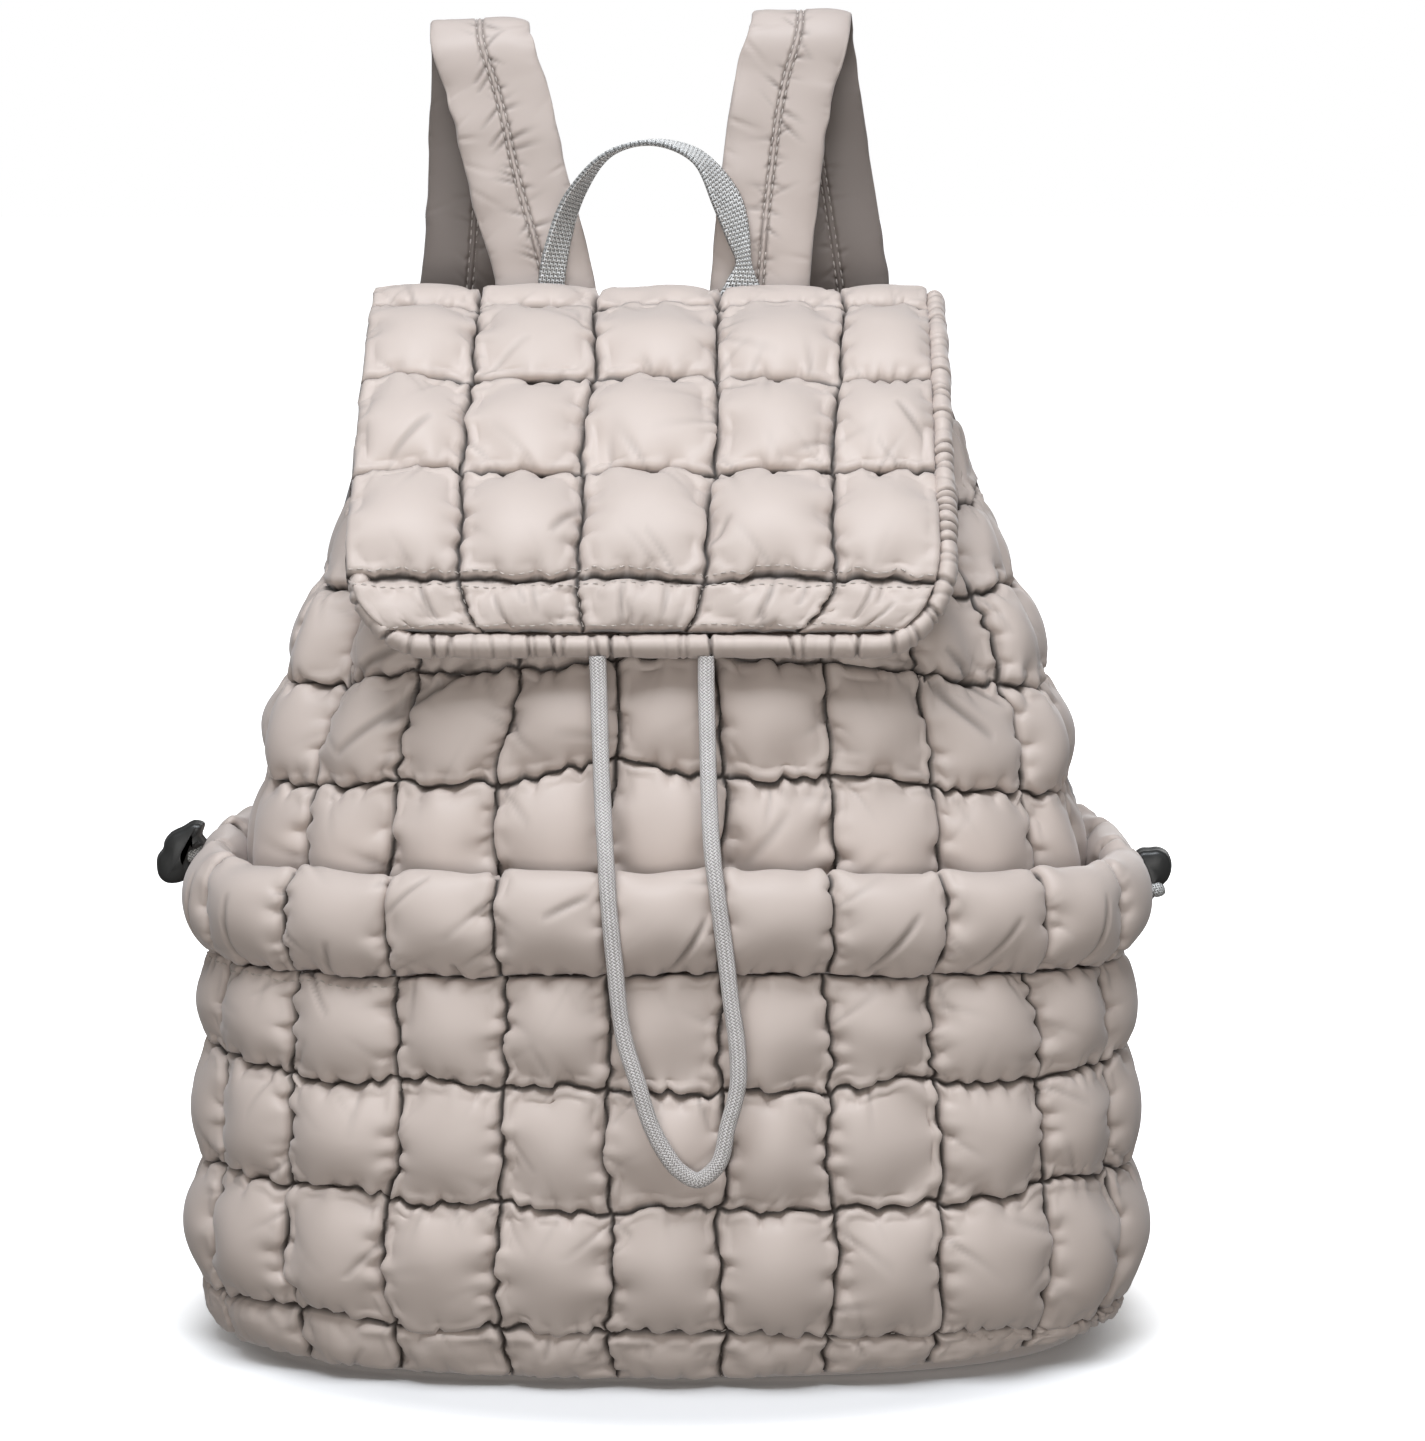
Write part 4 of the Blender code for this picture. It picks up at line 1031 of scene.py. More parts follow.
def make_body():
    lengths = row_lengths(BODY_QUILT_ROWS)
    puffs = [row.puff * BODY_PUFF for row in BODY_QUILT_ROWS[:-1]]
    width = 2 * HALF_ROUND * BODY_GIRTH / BODY_COLUMNS
    points, crease, along, up = quilted_panel(
        "body_quilt", body_surface, width, BODY_COLUMNS, lengths, puffs, 11, 0.075, wrinkles=BODY_WRINKLES
    )
    u = (along[0] / width / BODY_COLUMNS * 2 - 1)[None, :]
    hidden_levels = np.linspace(0.0, 1.0, 9)[:-1, None]
    hidden = layer_point(BODY_SECTIONS, u, row_height(BODY_ROWS, hidden_levels, u))
    size = hidden.shape[:2]
    z = row_height(BODY_ROWS, np.linspace(len(BODY_ROWS) - 1, 0.0, 26)[:, None], u)
    inner = layer_point(BODY_SECTIONS, u, z, -BODY_WALL - fold_depth(u, z))
    outer = np.concatenate([hidden, points])
    crease = np.concatenate([np.zeros(size), crease])
    along = np.concatenate([np.broadcast_to(along[0], size), along])
    up = np.concatenate([np.broadcast_to(-HIDDEN_LENGTH * (1 - hidden_levels), size), up])
    return shell_piece(
        "quilted_body", outer, crease, along, up, inner, QUILT_NYLON, "quilted_nylon", "bag_body"
    )


make_body()

# %% [markdown]
# The pocket wraps round the whole front of the body in four quilted rows, the lowest one short where it
# turns under. Its columns are the same all the way up. Its thread shows along the hem at the right and
# along the top seam at the left, so only those stretches are stitched.

# %% Pocket
POCKET_COLUMNS = 15
HEM_STITCHES = (0.49, 0.90)
CASING_STITCHES = (0.0, 0.34)
CASING_STITCH_ROW = 4
RIM_WAVE = 0.0008
RIM_WAVE_LENGTHS = (0.0055, 0.021)
LEFT_GATHERS = 1.2


def rim_wave(u):
    """How far the seam between pocket and casing strays up or down at u."""
    quick, slow = RIM_WAVE_LENGTHS
    return RIM_WAVE * (wander(61, 0, u * HALF_ROUND, quick) + wander(62, 0, u * HALF_ROUND, slow))


def pocket_surface(across, up, out):
    """The pocket's layer at a column and a row, whose top edge follows the rim's wave."""
    u = across / POCKET_COLUMNS * 2 - 1
    z = row_height(POCKET_ROWS, up, u) + rim_wave(u) * smooth_steps(up - len(POCKET_ROWS) + 2)
    return layer_point(POCKET_SECTIONS, u, z, out)


def pocket_gathers(across, up):
    """The cloth is pinched more at the left end of its top seam, where the cord draws it in."""
    left = 1 - smooth_steps((across - 3.0) / 3.5)
    return 1 + LEFT_GATHERS * left * smooth_steps((up - len(POCKET_ROWS) + 1.6) / 0.5)


def make_pocket():
    lengths = row_lengths(POCKET_ROWS)
    puffs = [row.puff * POCKET_PUFF for row in POCKET_ROWS[:-1]]
    width = 2 * HALF_ROUND / POCKET_COLUMNS
    outer, crease, along, up = quilted_panel(
        "pocket_quilt", pocket_surface, width, POCKET_COLUMNS, lengths, puffs, 31, 0.075,
        gathered=pocket_gathers,
    )
    levels = np.linspace(len(POCKET_ROWS) - 1, 0.0, 14)[:, None]
    inner = pocket_surface(along[:1] / width, levels, -POCKET_WALL)
    normals = grid_normals(outer)
    hem = up[:, 0].searchsorted(up[-1, 0] / (len(POCKET_ROWS) - 1) - ON_LINE)
    stretches = ((hem, HEM_STITCHES), (-CASING_STITCH_ROW, CASING_STITCHES))
    lines = []
    for row, (start, end) in stretches:
        shown = slice(int(start * outer.shape[1]), int(end * outer.shape[1]))
        lines.append((outer[row, shown], normals[row, shown]))
    stitched("pocket_stitches", lines, "quilted_nylon")
    return shell_piece(
        "quilted_pocket", outer, crease, along, up, inner, QUILT_NYLON, "quilted_nylon", "pocket_panel"
    )


make_pocket()

# %% [markdown]
# The pocket's top edge is a casing: a roll of the same padded cloth, folded over an elastic cord that
# gathers it, most of all at its two ends. Its section is a short table, as shares of the roll's height
# and thickness, and the roll is a little slimmer at each seam.

# %% Casing
CASING_HEIGHT = 0.0365
CASING_THICKNESS = 0.0120
CASING_PUFF = 0.0035
CASING_WAIST = 0.14
CASING_UNEVENNESS = 0.05
CASING_WAVE = 0.37
CASING_WRINKLES = (
    Wrinkle((7.55, 0.03), (7.86, 0.30), 0.0022, 0.0011),
    Wrinkle((6.45, 0.30), (6.85, 0.40), 0.0014, 0.0011),
    Wrinkle((5.05, 0.32), (5.40, 0.46), 0.0012, 0.0010),
    Wrinkle((9.30, 0.05), (9.70, 0.33), 0.0018, 0.0011),
    Wrinkle((10.30, 0.06), (10.65, 0.30), 0.0014, 0.0011),
    Wrinkle((5.62, 0.00), (5.60, 0.10), 0.0016, 0.0010),
    Wrinkle((4.45, 0.02), (4.52, 0.22), 0.0014, 0.0010),
    Wrinkle((3.40, 0.02), (3.48, 0.36), 0.0016, 0.0010),
    Wrinkle((2.60, 0.02), (2.75, 0.40), 0.0018, 0.0010),
    Wrinkle((2.20, 0.02), (2.30, 0.34), 0.0016, 0.0010),
    Wrinkle((11.5, 0.02), (11.6, 0.36), 0.0018, 0.0010),
)
CasingPoint = namedtuple("CasingPoint", "height out")
CASING_SECTION = (
    CasingPoint(0.00, 0.06),
    CasingPoint(0.22, 0.50),
    CasingPoint(0.58, 0.60),
    CasingPoint(0.88, 0.42),
    CasingPoint(1.00, 0.08),
    CasingPoint(0.93, -0.22),
    CasingPoint(0.62, -0.30),
    CasingPoint(0.25, -0.30),
    CasingPoint(0.00, -0.22),
)


CASING_LINE = np.array(CASING_SECTION) * (CASING_HEIGHT, CASING_THICKNESS)
CASING_RUN = run_of(CASING_LINE)


def casing_surface(across, up, out):
    """Up goes from 0 at the outer foot over the top to 1 at the inner foot, by length round the roll."""
    u = across / POCKET_COLUMNS * 2 - 1
    run = CASING_RUN / CASING_RUN[-1]
    slope = np.gradient(CASING_LINE, run, axis=0)
    height, offset = (smooth_table(up, run, column) for column in CASING_LINE.T)
    rise, lean = (smooth_table(up, run, column) for column in slope.T)
    size = np.hypot(rise, lean)
    foot = row_height(POCKET_ROWS, len(POCKET_ROWS) - 1.0, u) + SEAM_GAP + rim_wave(u)
    thickness = 1 - CASING_WAIST + CASING_WAIST * pillow(across)
    thickness = thickness + CASING_UNEVENNESS * wander(58, 0, across, CASING_WAVE)
    z = foot + height - out * lean / size
    return layer_point(POCKET_SECTIONS, u, z, offset * thickness + out * rise / size)


def casing_gathers(across, up):
    """Both ends of the casing are gathered hard on their cord, and the middle hardly at all."""
    return 1 + 1.6 * (1 - smooth_steps((across - 2.0) / 4.0)) + 0.8 * smooth_steps((across - 9.5) / 3.0)


def make_casing():
    width = 2 * HALF_ROUND / POCKET_COLUMNS
    points, crease, along, up = quilted_panel(
        "casing_roll", casing_surface, width, POCKET_COLUMNS, [CASING_RUN[-1]], [CASING_PUFF], 51, 0.085,
        wrinkles=CASING_WRINKLES, gathered=casing_gathers, sway=0.55, seam_depth=0.65,
    )
    return roll_piece(
        "gathered_casing", points, crease, along, up, QUILT_NYLON, "quilted_nylon", "pocket_casing"
    )


make_casing()

# %% [markdown]
# The flap is sewn to the top of the back panel, runs over the crest and hangs down in front of the
# mouth. Its middle line is a table, and every point of it is placed by how far it is across the flap,
# how far down that line and how far above it. It has five columns, the outer ones narrower, and a low
# border along its lip, with short wrinkles up and down it. Thread shows beside the border and at the lip.

# %% Flap
TOP_SHIFT = -0.005
FLAP_HALF_WIDTH = 0.101
FLAP_CORNER = 0.022
FLAP_CORNER_LENGTH = 0.027
FLAP_WALL = 0.0050
FLAP_PUFF = 0.0086
FLAP_ROWS = (0.0, 0.144, 0.389, 0.640, 0.906, 1.0)
FLAP_SEAMS = (-1.050, -0.64, -0.20, 0.26, 0.70, 1.02)
FLAP_LEFT_SPREAD = 0.035
FLAP_ROW_PUFFS = (0.5, 1.0, 1.0, 1.0, 0.55)
FLAP_SEAM_DRIFT = 0.0075
FLAP_PRESSURE = 12.0
LINE_STATIONS = 600
FLAP_WRINKLES = (
    Wrinkle((0.70, 0.20), (0.66, 1.00), 0.0020, 0.0009),
    Wrinkle((1.34, 0.10), (1.30, 0.75), 0.0012, 0.0009),
    Wrinkle((1.62, 0.30), (1.66, 1.00), 0.0009, 0.0009),
    Wrinkle((2.34, 0.10), (2.38, 0.95), 0.0015, 0.0009),
    Wrinkle((2.44, 0.05), (2.42, 0.60), 0.0010, 0.0009),
    Wrinkle((2.72, 0.25), (2.70, 1.00), 0.0013, 0.0009),
    Wrinkle((3.50, 0.20), (3.54, 1.00), 0.0017, 0.0009),
    Wrinkle((3.62, 0.00), (3.50, 0.45), 0.0012, 0.0009),
    Wrinkle((4.42, 0.20), (4.38, 0.90), 0.0014, 0.0009),
    Wrinkle((4.62, 0.05), (4.70, 0.60), 0.0012, 0.0009),
    Wrinkle((1.75, 1.30), (2.00, 1.62), 0.0013, 0.0012),
    Wrinkle((3.20, 1.45), (3.02, 1.20), 0.0012, 0.0011),
    Wrinkle((0.35, 2.10), (0.70, 2.45), 0.0012, 0.0012),
    Wrinkle((4.60, 2.60), (4.90, 2.30), 0.0012, 0.0012),
)
FlapPoint = namedtuple("FlapPoint", "reach rise")
FLAP_LINE = (
    FlapPoint(-0.012, 0.9832),
    FlapPoint(-0.004, 0.9960),
    FlapPoint(0.036, 1.0020),
    FlapPoint(0.105, 0.9935),
    FlapPoint(0.355, 0.9330),
    FlapPoint(0.580, 0.8540),
    FlapPoint(0.789, 0.7680),
    FlapPoint(0.832, 0.7200),
)


def flap_line():
    """The flap's middle line as fine points (y, z) with the length along them."""
    reach, rise = np.array(FLAP_LINE).T
    z = rise * BAG_HEIGHT
    path = smooth_path(np.stack([back_plane(z) - reach * BAG_DEPTH, z], axis=1), LINE_STATIONS)
    return path, run_of(path)


FLAP_PATH, FLAP_RUN = flap_line()
FLAP_LENGTH = float(FLAP_RUN[-1])


def flap_point(x, s, rise):
    """A point of the flap: x across, s down the line from the root, rise above it along its normal. Past
    the lip the line runs straight on."""
    x, s, rise = np.broadcast_arrays(x, np.asarray(s, float), rise)
    inside = np.clip(s, 0.0, FLAP_LENGTH)
    y, z = (np.interp(inside, FLAP_RUN, column) for column in FLAP_PATH.T)
    slope = np.gradient(FLAP_PATH, FLAP_RUN, axis=0)
    dy, dz = (np.interp(inside, FLAP_RUN, column) for column in slope.T)
    past = s - inside
    return np.stack([x, y + dy * past + dz * rise, z + dz * past - dy * rise], axis=-1)


def flap_half_width(s):
    """Half width down the flap, drawn in by a quarter oval at the rounded corners of the lip."""
    past = np.clip((s - FLAP_LENGTH) / FLAP_CORNER_LENGTH + 1, 0.0, 0.98)
    return FLAP_HALF_WIDTH - FLAP_CORNER * (1 - np.sqrt(1 - past**2))


def flap_surface(across, up, out):
    """Across counts columns from the left and up counts rows from the lip to the root. The seams between
    the columns drift to the left as they run down."""
    share = np.interp(len(FLAP_SEAMS) - 1 - up, np.arange(len(FLAP_ROWS)), FLAP_ROWS)
    s = share * FLAP_LENGTH
    side = np.interp(across, np.arange(len(FLAP_SEAMS)), FLAP_SEAMS)
    side = side - FLAP_LEFT_SPREAD * share * np.clip(1 - across, 0.0, 1.0)
    drift = -FLAP_SEAM_DRIFT * share * np.sqrt(np.maximum(1 - side**2, 0.0))
    x = TOP_SHIFT + side * flap_half_width(s) + drift
    return flap_point(x, s, FLAP_WALL / 2 + out)


def make_flap():
    lengths = [(b - a) * FLAP_LENGTH for a, b in zip(FLAP_ROWS[:-1], FLAP_ROWS[1:])][::-1]
    puffs = [FLAP_PUFF * puff for puff in FLAP_ROW_PUFFS[::-1]]
    columns = len(FLAP_SEAMS) - 1
    width = 2 * FLAP_HALF_WIDTH / columns
    outer, crease, along, up = quilted_panel(
        "flap_quilt", flap_surface, width, columns, lengths, puffs, 71, 0.07,
        pressure=FLAP_PRESSURE, wrinkles=FLAP_WRINKLES, sway=0.6,
    )
    levels = np.linspace(columns, 0.0, 30)[:, None]
    inner = flap_surface((along[0] / width)[None, :], levels, -FLAP_WALL)
    normals = grid_normals(outer)
    level, column = up[:, 0] / up[-1, 0] * columns, along[0] / width
    border = level.searchsorted(1 - ON_LINE)
    lines = [(outer[k], normals[k]) for k in (2, border - 2, border + 2)]
    for seam in column.searchsorted(np.arange(1, columns) - ON_LINE):
        lines.append((outer[:border, seam], normals[:border, seam]))
    stitched("flap_stitches", lines, "quilted_nylon")
    return shell_piece(
        "quilted_flap", outer, crease, along, up, inner, QUILT_NYLON, "quilted_nylon", "flap_panel"
    )


make_flap()

# %% [markdown]
# The other pieces are bars: rings of points carried along a path. A band, a strap, webbing and cord
# differ only in their path, in the outline of a ring and in how it turns and swells on its way.

# %% Bars along a path
def path_frames(path, aim, ends=True):
    """The way along, the way across and the way through at each point of a path. Across is the aim
    squared up to the path. With ends, the path starts straight up and ends straight down."""
    tangent = np.gradient(path, axis=0)
    if ends:
        tangent[0] = (0.0, 0.0, 1.0)
        tangent[-1] = (0.0, 0.0, -1.0)
    tangent = unit(tangent)
    aims = np.broadcast_to(aim, path.shape)
    wide = unit(aims - (aims * tangent).sum(axis=1)[:, None] * tangent)
    return tangent, wide, np.cross(tangent, wide)


def rings_round(path, wide, through, across, depth):
    """Rings of points round a path: each point is so far across it and so deep through it."""
    return path[:, None] + across[..., None] * wide[:, None] + depth[..., None] * through[:, None]


def bar_piece(name, rings, run, girth, finish, slot, node, crease=None):
    """A closed bar from rings of points, capped at both ends, with its faces turned outwards. Without a
    crease mask it has none."""
    stations, sides = rings.shape[:2]
    quads = grid_quads(stations, sides, round_columns=True)
    middle = rings.mean(axis=1, keepdims=True)
    normal = np.cross(np.roll(rings, -1, axis=1) - rings, np.gradient(rings, axis=0))
    outward = float(((rings - middle) * normal).sum()) > 0
    first, last = np.arange(sides), (stations - 1) * sides + np.arange(sides)
    caps = (first[::-1], last)
    if not outward:
        quads = quads[:, ::-1]
        caps = (first, last[::-1])
    uv = np.stack(np.broadcast_arrays(run[:, None], np.arange(sides) / sides * girth), axis=-1)
    masks = {"crease": np.zeros((stations, sides)) if crease is None else crease}
    piece = mesh_piece(name, rings.reshape(-1, 3), quads, uv.reshape(-1, 2), finish, masks, caps)
    return dress(piece, slot, node)


# %% [markdown]
# A padded band is stitched round the flap's two sides and its lip. From in front it shows under the lip
# and on the right, where its cloth is gathered into small pleats. On the left, above the corner, it is
# tucked under the pillows. It is a tube carried along the flap's edge, pinched in at uneven steps.

# %% Flap edge band
BAND_WIDTH = 0.0080
BAND_HEIGHT = 0.0120
BAND_GAP = 0.0007
BAND_STATIONS = 900
BAND_SIDES = 28
BAND_DROP = 0.35 * FLAP_WALL
BAND_START = 0.35
BAND_UNEVENNESS = 0.11
BAND_WAVE = 0.009
LEFT_TUCK = 0.0045
TUCK_FROM = 0.4
PLEAT_STEP = 0.0044
PLEAT_DEPTH = 0.62
PLEAT_FADE = 0.0012
PLEAT_SHADE = 0.8


def band_edge():
    """The flap's edge from root to root as x, s and the outward direction at each point: down the left
    side, round a quarter oval, along the lip, and back up the right."""
    start = FLAP_ROWS[1] * BAND_START * FLAP_LENGTH
    side = FLAP_LENGTH - FLAP_CORNER_LENGTH
    inside = FLAP_HALF_WIDTH - FLAP_CORNER
    turn = np.linspace(0.0, math.pi / 2, 40)
    down = np.linspace(start, side, 200)[:-1]
    lip = np.linspace(-inside, 0.0, 100)[1:]
    x = np.concatenate([np.full_like(down, -FLAP_HALF_WIDTH), -inside - FLAP_CORNER * np.cos(turn), lip])
    s = np.concatenate([down, side + FLAP_CORNER_LENGTH * np.sin(turn), np.full_like(lip, FLAP_LENGTH)])
    out_x = np.concatenate([np.full_like(down, -1.0), -np.cos(turn), np.zeros_like(lip)])
    out_s = np.concatenate([np.zeros_like(down), np.sin(turn), np.ones_like(lip)])
    left = np.stack([x, s, out_x, out_s], axis=1)
    right = (left * (-1, 1, -1, 1))[::-1][1:]
    edge = np.concatenate([left, right])
    run = run_of(edge[:, :2])
    even = np.linspace(0.0, run[-1], BAND_STATIONS)
    return np.stack([np.interp(even, run, column) for column in edge.T], axis=1), even


def make_band():
    """The girth is one, less the pleats and more or less a seeded unevenness. The pleats are deepest at
    the outer edge and fade with one less the cosine round the tube."""
    edge, run = band_edge()
    x, s, out_x, out_s = (column[:, None] for column in edge.T)
    turn = ring_angles(BAND_SIDES)[None, :]
    tuck = LEFT_TUCK * (x < 0) * smooth_steps((FLAP_LENGTH - s) / FLAP_CORNER_LENGTH - TUCK_FROM)
    away = PLEAT_FADE * (1 - np.cos(turn))
    pleat = pinches(91, 0, run[:, None], away, PLEAT_STEP, PINCH_LENGTH, fewness=1.4)
    girth = 1.0 - PLEAT_DEPTH * pleat + BAND_UNEVENNESS * wander(93, 0, run, BAND_WAVE)[:, None]
    offset = BAND_WIDTH / 2 + BAND_GAP - tuck + BAND_WIDTH / 2 * girth * np.cos(turn)
    rise = -BAND_DROP - tuck + BAND_HEIGHT / 2 * girth * np.sin(turn)
    points = flap_point(TOP_SHIFT + x + offset * out_x, s + offset * out_s, rise)
    # Painted shade in the pleats' folds.
    crease = PLEAT_SHADE * np.clip(pleat, 0.0, 1.0)
    return bar_piece(
        "flap_edge_roll", points, run, BAND_WIDTH * 2.5, QUILT_NYLON, "quilted_nylon", "flap_edge_band",
        crease=crease,
    )


make_band()

# %% [markdown]
# Each shoulder strap comes up from behind the flap, turns over in a loop and runs down to the bag's
# lower corner. It is flat padded nylon, joined along its middle by two rows of stitches that pucker the
# cloth on both sides. Its middle line is a table: side as a share of half the bag's width, height as a
# share of the bag's height, and rise and bow as shares of the loop's height and of its depth. Both loops
# lean a little to the left, as they do in the picture.

# %% Shoulder straps
PANEL_THICKNESS = 0.0105
PANEL_CROWN = 0.0030
STRAP_WIDTH = 0.038
STRAP_THICKNESS = 0.0080
STRAP_RISES = {-1: 0.1040, 1: 0.1075}
STRAP_SWAY = 0.0055
STRAP_BEND = 0.0016
STRAP_BOW = 0.045
STRAP_STATIONS = 620
STRAP_SIDES = 96
STRAP_DENSE = 0.3
BEND_UNTIL = 0.3
SEAM_HALF_GAP = 0.0011
GROOVE_DEPTH = 0.0009
GROOVE_WIDTH = 0.0006
GROOVE_SHADE = 0.40
PUCKER_DEPTH = 0.0013
PUCKER_LENGTH = 0.0038
PUCKER_SHADE = 0.50
EDGE_PUCKER_DEPTH = 0.0009
EDGE_PUCKER_STEP = 0.0060
EDGE_PUCKER_LENGTH = 0.0060
EDGE_SWAY = 0.022
EDGE_WAVE = 0.0075
SOFT_DEPTH = 0.00035
SOFT_WAVE = 0.030
STRAP_TOP_THINNING = 0.45
THINNING_OVER = 1.2
UNDERSIDE_SHADE = 0.40
STITCH_BEDDING = 0.75
StrapPoint = namedtuple("StrapPoint", "side height rise bow")
STRAP_LINE = (
    StrapPoint(0.2300, 0.915, 0.00, 0.000),
    StrapPoint(0.2300, 0.960, 0.00, 0.000),
    StrapPoint(0.2450, 1.000, 0.10, 0.070),
    StrapPoint(0.2810, 1.000, 0.42, 0.090),
    StrapPoint(0.3250, 1.000, 0.78, 0.100),
    StrapPoint(0.3560, 1.000, 0.94, 0.160),
    StrapPoint(0.3600, 1.000, 1.00, 0.340),
    StrapPoint(0.3640, 1.000, 0.93, 0.560),
    StrapPoint(0.3760, 1.000, 0.70, 0.660),
    StrapPoint(0.4200, 1.000, 0.05, 0.700),
    StrapPoint(0.4700, 0.870, 0.00, 0.860),
    StrapPoint(0.5250, 0.700, 0.00, 1.000),
    StrapPoint(0.6200, 0.440, 0.00, 0.960),
    StrapPoint(0.6900, 0.230, 0.00, 0.580),
    StrapPoint(0.7300, 0.130, 0.00, 0.200),
    StrapPoint(0.7500, 0.085, 0.00, 0.000),
    StrapPoint(0.7550, 0.055, 0.00, 0.000),
)


def strap_path(sign):
    """The strap's middle line. It leans by the sway times the rise, and its front run bends by the sine of
    the rise."""
    rest = PANEL_THICKNESS + SEAM_GAP + STRAP_THICKNESS / 2
    points = []
    for point in STRAP_LINE:
        bend = STRAP_BEND * math.sin(math.pi * point.rise) * (point.bow < BEND_UNTIL)
        x = TOP_SHIFT - STRAP_SWAY * point.rise - bend + sign * point.side * HALF_WIDTH
        z = point.height * BAG_HEIGHT + point.rise * STRAP_RISES[sign]
        crown = PANEL_CROWN * math.sin(math.pi * min(point.height, 1.0))
        y = float(back_plane(min(z, BAG_HEIGHT))) + rest + crown + point.bow * STRAP_BOW
        points.append((x, y, z))
    return smooth_path(points, STRAP_STATIONS)


def make_strap(name, sign, node):
    """Half the strap's thickness at w across is the fourth-power oval of w, less two narrow stitch
    grooves, with puckers that fade away from them."""
    path = strap_path(sign)
    run = run_of(path)
    _, wide, through = path_frames(path, (1.0, 0.0, 0.0))
    spread = np.linspace(-1.0, 1.0, STRAP_SIDES // 2 + 1)
    half_w = np.sin(math.pi / 2 * (STRAP_DENSE * spread + (1 - STRAP_DENSE) * spread**3))
    w = np.concatenate([half_w[:-1], half_w[:0:-1]])
    face = np.where(np.arange(STRAP_SIDES) < STRAP_SIDES // 2, -1.0, 1.0) * (np.abs(w) < 1)
    from_middle = np.abs(w) * STRAP_WIDTH / 2
    half = STRAP_THICKNESS / 2 * (1 - np.abs(w) ** 4) ** 0.5
    groove = np.exp(-(((from_middle - SEAM_HALF_GAP) / GROOVE_WIDTH) ** 2))
    side = (np.sign(w) + 2 * face).astype(int)[None, :]
    beyond = np.maximum(from_middle - SEAM_HALF_GAP, 0.0)[None, :]
    from_edge = (STRAP_WIDTH / 2 - from_middle)[None, :]
    pucker = pinches(95 + sign, side, run[:, None], beyond, STITCH_PITCH, PUCKER_LENGTH, fewness=0.7)
    edge_pucker = pinches(99 + sign, side, run[:, None], from_edge, EDGE_PUCKER_STEP, EDGE_PUCKER_LENGTH, 1.2)
    soft = SOFT_DEPTH * crumple(97, run[:, None], (w * STRAP_WIDTH / 2)[None, :], SOFT_WAVE)
    risen = (path[:, 2:] - BAG_HEIGHT) / STRAP_RISES[sign]
    thin = 1 - STRAP_TOP_THINNING * smooth_steps(risen * THINNING_OVER)
    dent = PUCKER_DEPTH * pucker * (beyond > 0) + EDGE_PUCKER_DEPTH * edge_pucker * (half > 0.0012)
    lift = np.maximum(half * thin - GROOVE_DEPTH * groove - dent + soft * (half > 0.001), 0.0)
    edge = STRAP_WIDTH / 2 * (1 + EDGE_SWAY * wander(98 + sign, np.sign(w)[None, :], run[:, None], EDGE_WAVE))
    rings = rings_round(path, wide, through, w * edge, face * lift)
    # Painted shade in the crease mask: in the stitch grooves, in the puckers, and over the loop's inner face,
    # which lies in the strap's own shadow.
    shades = (GROOVE_SHADE * groove[None, :] ** 2, PUCKER_SHADE * np.clip(pucker, 0.0, 1.0))
    crease = np.maximum(np.maximum(*shades), UNDERSIDE_SHADE * (face > 0))
    lines = []
    for upper in (-1, 1):
        for beside in (-1, 1):
            depth = upper * (STRAP_THICKNESS / 2 * thin - GROOVE_DEPTH * STITCH_BEDDING)
            lines.append((path + beside * SEAM_HALF_GAP * wide + depth * through, upper * through))
    stitched(name + "_stitches", lines, "plain_nylon")
    return bar_piece(
        name, rings, run, 2 * STRAP_WIDTH, PLAIN_NYLON, "plain_nylon", node, crease=crease
    )


make_strap("strap_left", -1, "shoulder_strap_left")
make_strap("strap_right", 1, "shoulder_strap_right")

# %% [markdown]
# The grab handle is a short length of silver webbing, sewn down face on and twisted edge on where it
# arches. Webbing is a coarse weave, so its threads are laid out along and across it.

# %% Webbing and braid finishes
WEBBING_COLOUR = (0.78, 0.78, 0.765, 1.0)
# The gap colours are painted shade between the threads.
WEBBING_GAP_COLOUR = (0.10, 0.10, 0.095, 1.0)
BRAID_COLOUR = (0.72, 0.685, 0.665, 1.0)
BRAID_GAP_COLOUR = (0.22, 0.20, 0.19, 1.0)


def woven_finish(name, high, low, threads, turn, roughness, depth):
    """Coarse weave or braid: light threads with painted shade between them, turned on the cloth map."""
    finish, tree, shader = new_finish(name, roughness, 0.45)
    height = cloth_weave(tree, threads, turn)
    dye = placed(tree, UNEVEN_DYE, Colour=high, Amount=0.3, Patches_per_metre=220.0)
    tree.links.new(mixed(tree, height, low, dye.outputs["Colour"]), shader.inputs["Base Color"])
    tree.links.new(bump(tree, height, 0.9, depth), shader.inputs["Normal"])
    return finish


WEBBING_COLOURS = (WEBBING_COLOUR, WEBBING_GAP_COLOUR)
BRAID_COLOURS = (BRAID_COLOUR, BRAID_GAP_COLOUR)
SILVER_WEBBING = woven_finish("silver_webbing_weave", *WEBBING_COLOURS, 640.0, 0.0, 0.38, 0.0006)
CORD_BRAID = woven_finish("white_cord_braid", *BRAID_COLOURS, 1150.0, 45.0, 0.5, 0.0003)
SIDE_BRAID = woven_finish("silver_cord_braid", *WEBBING_COLOURS, 1000.0, 45.0, 0.35, 0.0004)

